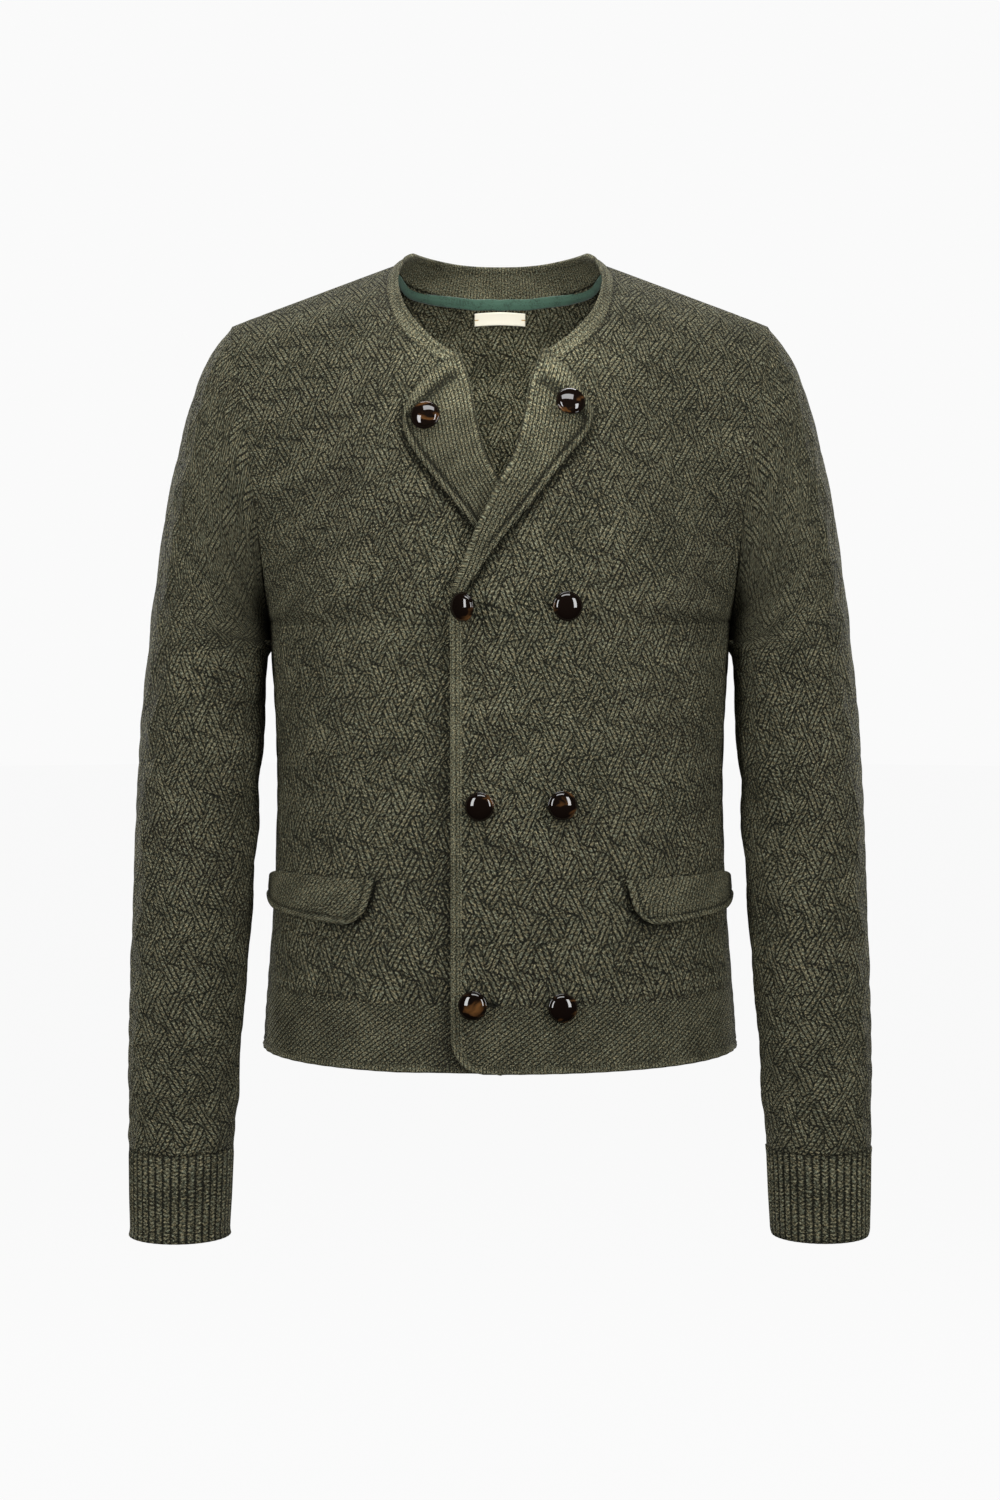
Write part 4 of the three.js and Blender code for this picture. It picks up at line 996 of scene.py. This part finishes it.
class CARDIGAN_OT_cuffs(bpy.types.Operator):
    """Make the ribbed cuffs"""
    bl_idname = "cardigan.cuffs"
    bl_label = "Cuffs"

    def execute(self, context):
        columns, rows = CUFF_RIBS * 6, 26
        for wearer in ("left", "right"):
            def place(i, j):
                share, t = i / columns, j / rows
                angle = math.pi - 2 * math.pi * share
                out_x, out_z, in_x, _, depth, y = track(SLEEVE, SLEEVE_ROW_COUNT)
                end_out, end_in, end_depth, end_y = CUFF_END
                a, b = mix(out_x, end_out, t), mix(in_x, end_in, t)
                point = Vector((
                    (a + b) / 2 + (a - b) / 2 * math.cos(angle),
                    mix(y, end_y, t) + math.sin(angle) * mix(depth, end_depth, t),
                    out_z - CUFF_HEIGHT * t - 0.4 * (1 - t),
                ))
                # The ribs fade out towards the hand
                rib = 0.55 * math.cos(2 * math.pi * share * CUFF_RIBS)
                lift = rib * (1 - 0.75 * ease(t, 0.5, 0.95)) + 0.5 * ease(t, 0.1, 0) - ease(t, 0.94, 1)
                if wearer == "right":
                    point.x = -point.x
                # The cuff is painted a little darker all over, with painted shade in the seam at its top
                return point, (0, 0), (share * CUFF_RIBS, -CUFF_HEIGHT * t), lift, 0.1 + 0.5 * ridge_at(t, 0, 0.03)

            piece = cloth(f"Cuff_{wearer}", columns, rows, place, closed=True)
            facing(piece, [yarn("cuff")])
            wall(piece, CLOTH)
            finished(piece, f"cuff_{wearer}")
        return {"FINISHED"}


# Neck band, lapels and flaps

def band_line(share):
    """Seam point, surface normal and reach of the band, share -1 to 1 from the right gorge to the left one."""
    wearer = "left" if share > 0 else "right"
    size = abs(share) * 2 * NECK_COLUMNS
    if size <= NECK_COLUMNS:
        across, row = back_neck(size)
        root = body_point("back", across, row)
        normal = body_normal("back", across, min(row, SHOULDER_ROW - 0.02))
        reach = Vector(track(NECK_BACK, size / 2)[2:])
        if share < 0:
            root.x, normal.x = -root.x, -normal.x
    else:
        row = row_at(LEVELS + NECK_COLUMNS - size)
        across = front_edge_at(row)
        root = front_point(across, row, wearer)
        normal = body_normal("front", across, row)
        reach = Vector(track(NECK_FRONT, root.z)[1:])
        if share < 0:
            normal.x = -normal.x
    if share < 0:
        reach.x = -reach.x
    return root, normal, reach


class CARDIGAN_OT_neck_band(bpy.types.Operator):
    """Make the neck band, which stands up behind and narrows to an edging in front"""
    bl_idname = "cardigan.neck_band"
    bl_label = "Neck band"

    def execute(self, context):
        columns, rows, spread = 190, 16, 9
        lines = [band_line(1 - 2 * i / columns) for i in range(columns + 1)]
        # The top edge runs in one smooth line round the shoulders
        tops = [root + reach for root, normal, reach in lines]
        smooth = []
        for i in range(columns + 1):
            near = min(spread, i, columns - i)
            around = tops[i - near:i + near + 1]
            smooth.append(sum(around, Vector()) / len(around))

        def place(i, j):
            root, normal, reach = lines[i]
            reach = smooth[i] - root
            t = j / rows
            point = root + reach * t + normal * (math.sin(math.pi * t) * 0.04 * reach.length)
            down = (1 - t) * reach.length
            groove = ridge_at(down, 4.2, 1)
            lift = 0.6 * ridge_at(down, 1, 1.8) - 0.25 * groove
            # Painted shade in the groove and along the seam at the band's foot
            crease = 0.5 * groove + 0.5 * ridge_at(t * reach.length, 0, 1.3)
            return point, (0, 0), ((1 - 2 * i / columns) * BAND_HALF_LENGTH, reach.length * t), lift, crease

        piece = cloth("Neck_band", columns, rows, place)
        facing(piece, [yarn("facing")])
        wall(piece, CLOTH)
        finished(piece, "neck_band")
        return {"FINISHED"}


def lapel_point(wearer, s, t):
    """s below 0 is the roll round the front's edge, 0 to 1 the turned-back part."""
    roll_z, edge_x, edge_z = track(LAPEL[wearer], t)
    roll_x = track(FRONT_EDGE, roll_z)[0]
    bulge = 5 * math.sin(math.pi * max(s, 0)) * max(0, 4 * t - 3)
    x = mix(roll_x, edge_x, max(s, 0)) + 0.7 * bulge
    z = mix(roll_z, edge_z, max(s, 0)) + 0.7 * bulge
    across, row = locate(x, z)
    lift = LAPEL_LIFT + LAPEL_CLOTH + s * s if s > 0 else LAPEL_LIFT + LAPEL_CLOTH
    point = front_point(across, row, wearer, lift)
    if s < 0:
        normal = body_normal("front", across, row)
        away = Vector((edge_x - roll_x, 0, edge_z - roll_z)).normalized()
        away -= normal * away.dot(normal)
        if wearer == "right":
            normal.x, away.x = -normal.x, -away.x
        half_way = (LAPEL_LIFT + LAPEL_CLOTH + CLOTH) / 2
        angle = -s * math.pi / 0.12
        point += normal * (math.cos(angle) - 1) * half_way - away.normalized() * math.sin(angle) * half_way
    return point


class CARDIGAN_OT_lapels(bpy.types.Operator):
    """Make the lapels, rolled over at the front edge"""
    bl_idname = "cardigan.lapels"
    bl_label = "Lapels"

    def execute(self, context):
        columns, rows, roll = 60, 110, 8
        for wearer, sign in (("left", 1), ("right", -1)):
            def place(i, j):
                k = i if sign > 0 else columns - i
                s = -0.1 * (roll - k) / roll if k < roll else (k - roll) / (columns - roll)
                t = j / rows
                roll_z, edge_x, edge_z = track(LAPEL[wearer], t)
                wide = math.hypot(edge_x - track(FRONT_EDGE, roll_z)[0], edge_z - roll_z)
                near = min(wide * (1 - max(s, 0)), 62 * (1 - t) + 0.5)
                # A padded rim, a groove and a second ridge follow the free edge
                fade = ease(wide, 10, 20) * ease(s, -0.02, 0.12)
                groove = ridge_at(near, 5.4, 1.2) * fade
                ridge = ridge_at(near, 2.4, 1.7) * fade
                rim = 1.6 * ridge - 0.9 * groove + 0.8 * ridge_at(near, 8.2, 1.6) * fade
                # Painted shade in the groove and a painted highlight on the rim, over a slight even darkening of the
                # whole lapel
                crease = 0.15 + 1.3 * groove - 0.4 * ridge
                return lapel_point(wearer, s, t), (0, 0), (wide * s * sign, LAPEL_LENGTH * t), rim, crease

            piece = cloth(f"Lapel_{wearer}", columns, rows, place)
            facing(piece, [yarn("lapel")])
            wall(piece, LAPEL_CLOTH - 0.3)
            finished(piece, f"lapel_{wearer}")
        return {"FINISHED"}


@lru_cache(maxsize=None)
def rim_distance(begin, seam, level, s):
    """How far inside the garment's outline a place on the flap is, as it is seen slightly from the middle."""
    def reach(share):
        point = body_point("front", mix(begin, seam, share), level)
        return point.x - SIGHT_SLOPE * point.y
    farthest = max(range(31), key=lambda k: reach(k / 30)) / 30
    return reach(farthest) - reach(s) if s < farthest else 0


class CARDIGAN_OT_flaps(bpy.types.Operator):
    """Make the pocket flaps"""
    bl_idname = "cardigan.flaps"
    bl_label = "Pocket flaps"

    def execute(self, context):
        columns, rows = 74, 26
        for wearer in ("left", "right"):
            def place(i, j):
                share, t = i / columns, j / rows
                s = share if wearer == "left" else 1 - share
                depth = mix(FLAP["drop_inner"], FLAP["drop_side"], s)
                # Round corners: one wide one inside at the bottom, two small ones seen against the light at the side
                level = track(SIDE_ROWS, FLAP["top_z"] - depth / 2)[0]
                seam = solve(lambda a: body_point("front", a, level).y, FLAP["side_y"], 0.5, 1)
                begin = across_at("front", level, FLAP["top_x"])
                inside = rim_distance(begin, seam, level, s)
                side = 1 - math.sqrt(1 - max(1 - inside / FLAP["corner"], 0) ** 2)
                top = FLAP["top_z"] - FLAP["corner"] * side
                bottom = FLAP["top_z"] - depth + 5 * side
                z = mix(bottom, top, t)
                down = FLAP["top_z"] - z
                turn = min(max((down - 18) / 16, 0), 1)
                row = track(SIDE_ROWS, z)[0]
                inner = across_at("front", row, FLAP["top_x"] + 0.25 * down + 15 * (1 - math.sqrt(1 - turn * turn)))
                outer = solve(lambda a: body_point("front", a, row).y, FLAP["side_y"], 0.5, 1)
                across = mix(inner, outer, s)
                point = body_point("front", across, row)
                point += body_normal("front", across, row) * (FLAP_LIFT + CLOTH + 0.6 * (1 - t))
                if wearer == "right":
                    point.x = -point.x
                near = min(z - bottom, FLAP["length"] * s) + 0.5
                groove = ridge_at(near, 5.3, 1.1)
                rim = 0.8 * ridge_at(near, 2, 1.8) - 0.6 * groove
                # Painted shade in the groove beside the rim and a painted highlight on the rim
                crease = groove - 0.3 * ridge_at(near, 1.6, 1.6)
                return point, (0, 0), (110 * share + 0.5 * down, -down), rim, crease

            piece = cloth(f"Pocket_flap_{wearer}", columns, rows, place)
            facing(piece, [yarn("flap")])
            wall(piece, CLOTH)
            finished(piece, f"pocket_flap_{wearer}")
        return {"FINISHED"}


# Tape, label and buttons

def velvet(colour):
    """Cotton velvet: a short upright pile, which looks darker head on and lighter at the rims."""
    material, tree = new_material("Cotton velvet ribbon")
    coordinates = add(tree, "ShaderNodeTexCoord")
    pile = add(tree, "ShaderNodeTexNoise", {0: coordinates.outputs["Object"], 2: 900.0, 3: 3.0})
    brushed = add(tree, "ShaderNodeTexNoise", {0: coordinates.outputs["Object"], 2: 120.0, 3: 3.0, 4: 0.6})
    share = add(tree, "ShaderNodeMath", {0: pile.outputs[0], 1: brushed.outputs[0]}, operation="ADD")
    ramp = add(tree, "ShaderNodeValToRGB", {0: share.outputs[0]})
    ramp.color_ramp.elements[0].position = 0.75
    ramp.color_ramp.elements[1].position = 1.2
    ramp.color_ramp.elements[0].color = linear(colour, 0.6)
    ramp.color_ramp.elements[1].color = linear(colour, 1.25)
    bump = add(tree, "ShaderNodeBump", {"Strength": 0.5, "Distance": 0.3 * MM, "Height": pile.outputs[0]})
    shader = add(tree, "ShaderNodeBsdfPrincipled", {
        "Base Color": ramp.outputs[0], "Roughness": 0.85, "IOR": 1.5, "Sheen Weight": 0.35, "Sheen Roughness": 0.4,
        "Normal": bump.outputs[0],
    })
    add(tree, "ShaderNodeOutputMaterial", {0: shader.outputs[0]})
    return material


def satin_label(colour):
    """Woven satin label: fine weft across, with a soft even shine."""
    material, tree = new_material("Woven satin label")
    coordinates = add(tree, "ShaderNodeTexCoord")
    weft = add(tree, "ShaderNodeTexWave", {0: coordinates.outputs["Object"], 1: 900.0, 2: 0.6}, bands_direction="Z")
    ramp = add(tree, "ShaderNodeValToRGB", {0: weft.outputs[1]})
    ramp.color_ramp.elements[0].color = linear(colour, 0.86)
    ramp.color_ramp.elements[1].color = linear(colour)
    # A tan stitch at each end holds it, halfway down
    place = add(tree, "ShaderNodeSeparateXYZ", {0: add(tree, "ShaderNodeUVMap", uv_map="plain").outputs[0]})
    names = work_out(tree, {"x": place.outputs[0], "down": place.outputs[1]}, (
        ("out", "ABSOLUTE", "x"),
        ("at_end", "GREATER_THAN", "out", 17.4),
        ("at_middle", "COMPARE", "down", 10.8, 0.5),
        ("stitch", "MULTIPLY", "at_end", "at_middle"),
    ))
    sewn = add(tree, "ShaderNodeMix", {0: names["stitch"], 6: ramp.outputs[0], 7: linear("a58a58")}, data_type="RGBA")
    bump = add(tree, "ShaderNodeBump", {"Strength": 0.3, "Distance": 0.1 * MM, "Height": weft.outputs[1]})
    shader = add(tree, "ShaderNodeBsdfPrincipled", {
        "Base Color": sewn.outputs[2], "Roughness": 0.6, "IOR": 1.5, "Normal": bump.outputs[0],
    })
    add(tree, "ShaderNodeOutputMaterial", {0: shader.outputs[0]})
    return material


def horn(props):
    """Polished polyester in horn look: near-black swirls with clear amber between them, under a wet gloss."""
    material, tree = new_material("Polished polyester, horn look")
    coordinates = add(tree, "ShaderNodeTexCoord")
    drawn = add(tree, "ShaderNodeMapping", {0: coordinates.outputs["Object"], 3: (1.0, 1.0, 2.0)})
    swirl = add(tree, "ShaderNodeTexNoise", {0: drawn.outputs[0], 2: 62.0, 3: 2.0, 4: 0.5, 8: 0.6})
    ramp = add(tree, "ShaderNodeValToRGB", {0: swirl.outputs[0]})
    ramp.color_ramp.elements[0].position = 0.56
    ramp.color_ramp.elements[0].color = linear(props.horn)
    ramp.color_ramp.elements[1].position = 0.86
    ramp.color_ramp.elements[1].color = linear(props.amber)
    shader = add(tree, "ShaderNodeBsdfPrincipled", {
        "Base Color": ramp.outputs[0], "Roughness": 0.04, "IOR": 1.5,
    })
    add(tree, "ShaderNodeOutputMaterial", {0: shader.outputs[0]})
    return material


class CARDIGAN_OT_neck_trim(bpy.types.Operator):
    """Make the velvet neck tape and the blank label inside the back"""
    bl_idname = "cardigan.neck_trim"
    bl_label = "Neck tape and label"

    def execute(self, context):
        props = context.scene.cardigan_trim

        def tape_place(i, j):
            share = (0.5 - i / 96) * 0.995
            root, normal, reach = band_line(share)
            across, row = back_neck(abs(share) * 2 * NECK_COLUMNS)
            below = body_point("back", across, row - 0.2)
            if share < 0:
                below.x = -below.x
            q = j / 4 - 1
            way = reach.normalized() if q > 0 else (root - below).normalized()
            point = root - normal * (CLOTH + TAPE["gap"]) + way * TAPE["half_width"] * q
            # The ends sink below the seam
            point += (below - root).normalized() * TAPE["end_drop"] * ease(abs(share), 0.1, 0.45)
            return point, (0, 0), (share * 2 * TAPE["half_length"], 4 * q), 0, 0

        tape = cloth("Neck_tape", 96, 8, tape_place)
        facing(tape, [velvet(props.velvet)])
        wall(tape, TAPE["wall"])
        finished(tape, "neck_tape")

        def label_place(i, j):
            x = LABEL["width"] * (0.5 - i / 40)
            down = LABEL["below_seam"] + LABEL["height"] * (1 - j / 12)
            row = back_neck(0)[1]
            speed = (body_point("back", 0, row) - body_point("back", 0, row - 1)).length
            row -= down / speed
            across = across_at("back", row, x)
            point = body_point("back", across, row) - body_normal("back", across, row) * (CLOTH + LABEL["gap"])
            return point, (0, 0), (x, down), 0, 0

        label = cloth("Label", 40, 12, label_place)
        facing(label, [satin_label(props.label)])
        wall(label, LABEL["wall"])
        finished(label, "label")
        return {"FINISHED"}


class CARDIGAN_OT_buttons(bpy.types.Operator):
    """Turn the eight domed shank buttons"""
    bl_idname = "cardigan.buttons"
    bl_label = "Buttons"

    def execute(self, context):
        material = horn(context.scene.cardigan_trim)
        for node, x, z, on, tip_x, tip_z in BUTTONS:
            across, row = locate(abs(x), z)
            across = math.copysign(across, x)
            normal = body_normal("front", across, row)
            seat = body_point("front", across, row)
            if on == "lapel" and x < 0:
                seat -= normal * under_dip(seat.x, seat.z)
            axis = normal + Vector((-math.tan(math.radians(tip_x)), 0, math.tan(math.radians(tip_z))))
            axis.normalize()
            tilt = math.sin(normal.angle(axis))
            ground = LAPEL_LIFT + LAPEL_CLOTH + 0.8 if on == "lapel" else 0.9
            seat += normal * (ground + 0.1 + SHANK_RADIUS * tilt)
            shank = SHANK_HEIGHT + BUTTON_RADIUS * tilt
            dome = BUTTON_RADIUS - BUTTON_RIM
            bm = bmesh.new()
            # Half a section: the shank, the flat underside, the rounded rim and the dome
            profile = [(BUTTON_POLE, 0), (SHANK_RADIUS, 0), (SHANK_RADIUS, shank), (dome - 0.5, shank + 0.3)]
            for k in range(9):
                turn = math.pi * k / 8
                profile.append((dome + BUTTON_RIM * math.sin(turn), shank + 1.3 - math.cos(turn)))
            for k in range(1, 13):
                turn = math.pi / 2 * k / 12
                profile.append((max(dome * math.cos(turn), BUTTON_POLE), shank + 2.3 + BUTTON_DOME * math.sin(turn)))
            verts = [bm.verts.new((radius, 0, height)) for radius, height in profile]
            edges = [bm.edges.new(pair) for pair in zip(verts, verts[1:])]
            bmesh.ops.spin(bm, geom=verts + edges, axis=(0, 0, 1), cent=(0, 0, 0), angle=2 * math.pi, steps=56,
                           use_merge=True)
            bmesh.ops.remove_doubles(bm, verts=bm.verts, dist=0.05)
            bmesh.ops.recalc_face_normals(bm, faces=bm.faces)
            turn = axis.to_track_quat("Z", "Y").to_matrix().to_4x4()
            for vert in bm.verts:
                vert.co = (turn @ vert.co + seat) * MM
            for face in bm.faces:
                face.smooth = True
            piece = link(node.capitalize(), bm)
            facing(piece, [material])
            finished(piece, node)
        return {"FINISHED"}


# Stage

def hang(name, kind, place, aim, power):
    """A lamp of a kind at a place, turned towards its aim."""
    light = bpy.data.lights.new(name, kind)
    light.energy = power
    lamp = bpy.data.objects.new(name, light)
    lamp.location = place
    lamp.rotation_euler = (Vector(aim) - lamp.location).to_track_quat("-Z", "Y").to_euler()
    bpy.context.scene.collection.objects.link(lamp)
    return lamp


class CARDIGAN_OT_stage(bpy.types.Operator):
    """Set up the pale floor, soft studio light and the camera"""
    bl_idname = "cardigan.stage"
    bl_label = "Stage"

    def execute(self, context):
        props = context.scene.cardigan_stage
        scene = context.scene
        world = bpy.data.worlds.new("Soft daylight")
        world.use_nodes = True
        tree = world.node_tree
        seen, given = tree.nodes["Background"], tree.nodes.new("ShaderNodeBackground")
        seen.inputs[0].default_value = given.inputs[0].default_value = (1, 1, 1, 1)
        seen.inputs[1].default_value = props.backdrop
        given.inputs[1].default_value = props.daylight
        # The backdrop is brighter than the light it gives, so dark buttons don't mirror it
        path = tree.nodes.new("ShaderNodeLightPath")
        blend = tree.nodes.new("ShaderNodeMixShader")
        for output, place in ((path.outputs[0], 0), (given.outputs[0], 1), (seen.outputs[0], 2)):
            tree.links.new(output, blend.inputs[place])
        tree.links.new(blend.outputs[0], tree.nodes["World Output"].inputs[0])
        world.cycles_visibility.glossy = False
        scene.world = world
        scene.view_settings.view_transform = "Standard"

        bm = bmesh.new()
        bmesh.ops.create_circle(bm, cap_ends=True, segments=96, radius=14)
        for vert in bm.verts:
            vert.co.z = -props.floor_depth
        floor = link("Floor", bm)
        paint = bpy.data.materials.new("White studio paper")
        paint.use_nodes = True
        shader = paint.node_tree.nodes["Principled BSDF"]
        shader.inputs["Base Color"].default_value = (0.012, 0.012, 0.012, 1)
        shader.inputs["Roughness"].default_value = 0.9
        shader.inputs["Specular IOR Level"].default_value = 0
        shader.inputs["Emission Color"].default_value = (1, 1, 1, 1)
        shader.inputs["Emission Strength"].default_value = 0.94
        facing(floor, [paint])
        # Its brightness is for the eye alone: the cloth isn't lit from below and the buttons don't mirror it
        floor.visible_diffuse = floor.visible_glossy = False

        # The same lights stand in front and behind, so every side is lit alike
        for name, place, size, power in (
            ("Softbox above", (0, -0.85, 1.35), (1.3, 0.6), 22),
            ("Strip light left", (-1.35, -1.5, 0.2), (0.5, 1.3), 29),
            ("Strip light right", (1.35, -1.5, 0.2), (0.5, 1.3), 29),
            ("Softbox behind", (0, 0.95, 1.3), (1.3, 0.6), 24),
            ("Strip light behind left", (-1.35, 1.5, 0.2), (0.5, 1.3), 34),
            ("Strip light behind right", (1.35, 1.5, 0.2), (0.5, 1.3), 34),
        ):
            lamp = hang(name, "AREA", place, AIM, power)
            lamp.visible_camera = False
            lamp.data.shape = "RECTANGLE"
            lamp.data.size, lamp.data.size_y = size
        # Snooted lamps beside the camera, too small for the buttons to mirror
        for name, aim, power, cone in (
            ("Neck fill", (0, 0.08, -0.08), 190, 6.2), ("Inner back fill", (-0.002, 0.1, -0.085), 170, 3.8),
            ("Front fill", (0.01, -0.11, -0.3), 38, 12),
        ):
            lamp = hang(name, "SPOT", FILL_PLACE, aim, power)
            lamp.visible_glossy = False
            lamp.data.spot_size = math.radians(cone)
            lamp.data.spot_blend = 1
            lamp.data.shadow_soft_size = 0.05

        # Matched to the photograph
        data = bpy.data.cameras.new("Camera")
        data.sensor_fit = "VERTICAL"
        data.sensor_height = 36
        data.lens = CAMERA_LENS
        camera = bpy.data.objects.new("Camera", data)
        camera.location = CAMERA_PLACE
        camera.rotation_euler = (math.radians(90 - CAMERA_DOWN), 0, 0)
        scene.collection.objects.link(camera)
        scene.camera = camera
        return {"FINISHED"}


OPERATORS = (
    CARDIGAN_OT_stage, CARDIGAN_OT_fronts, CARDIGAN_OT_back, CARDIGAN_OT_sleeves, CARDIGAN_OT_cuffs,
    CARDIGAN_OT_neck_band, CARDIGAN_OT_lapels, CARDIGAN_OT_flaps, CARDIGAN_OT_neck_trim, CARDIGAN_OT_buttons,
)


class CARDIGAN_PT_panel(bpy.types.Panel):
    """Lists the cardigan's settings and makers"""
    bl_idname = "CARDIGAN_PT_panel"
    bl_label = "Cardigan"
    bl_space_type = "VIEW_3D"
    bl_region_type = "UI"
    bl_category = "Cardigan"

    def draw(self, context):
        for group in ("cardigan_wool", "cardigan_trim", "cardigan_stage"):
            settings = getattr(context.scene, group)
            box = self.layout.box()
            for name in settings.__annotations__:
                box.prop(settings, name)
        for operator in OPERATORS:
            self.layout.operator(operator.bl_idname)


SETTINGS = {"cardigan_wool": WoolSettings, "cardigan_trim": TrimSettings, "cardigan_stage": StageSettings}


def register():
    for group, settings in SETTINGS.items():
        bpy.utils.register_class(settings)
        setattr(bpy.types.Scene, group, bpy.props.PointerProperty(type=settings))
    for made in OPERATORS + (CARDIGAN_PT_panel,):
        bpy.utils.register_class(made)


def unregister():
    for made in reversed(OPERATORS + (CARDIGAN_PT_panel,)):
        bpy.utils.unregister_class(made)
    for group, settings in SETTINGS.items():
        delattr(bpy.types.Scene, group)
        bpy.utils.unregister_class(settings)


def main():
    register()
    for operator in OPERATORS:
        getattr(bpy.ops.cardigan, operator.bl_idname.split(".")[1])()


if __name__ == "__main__":
    main()
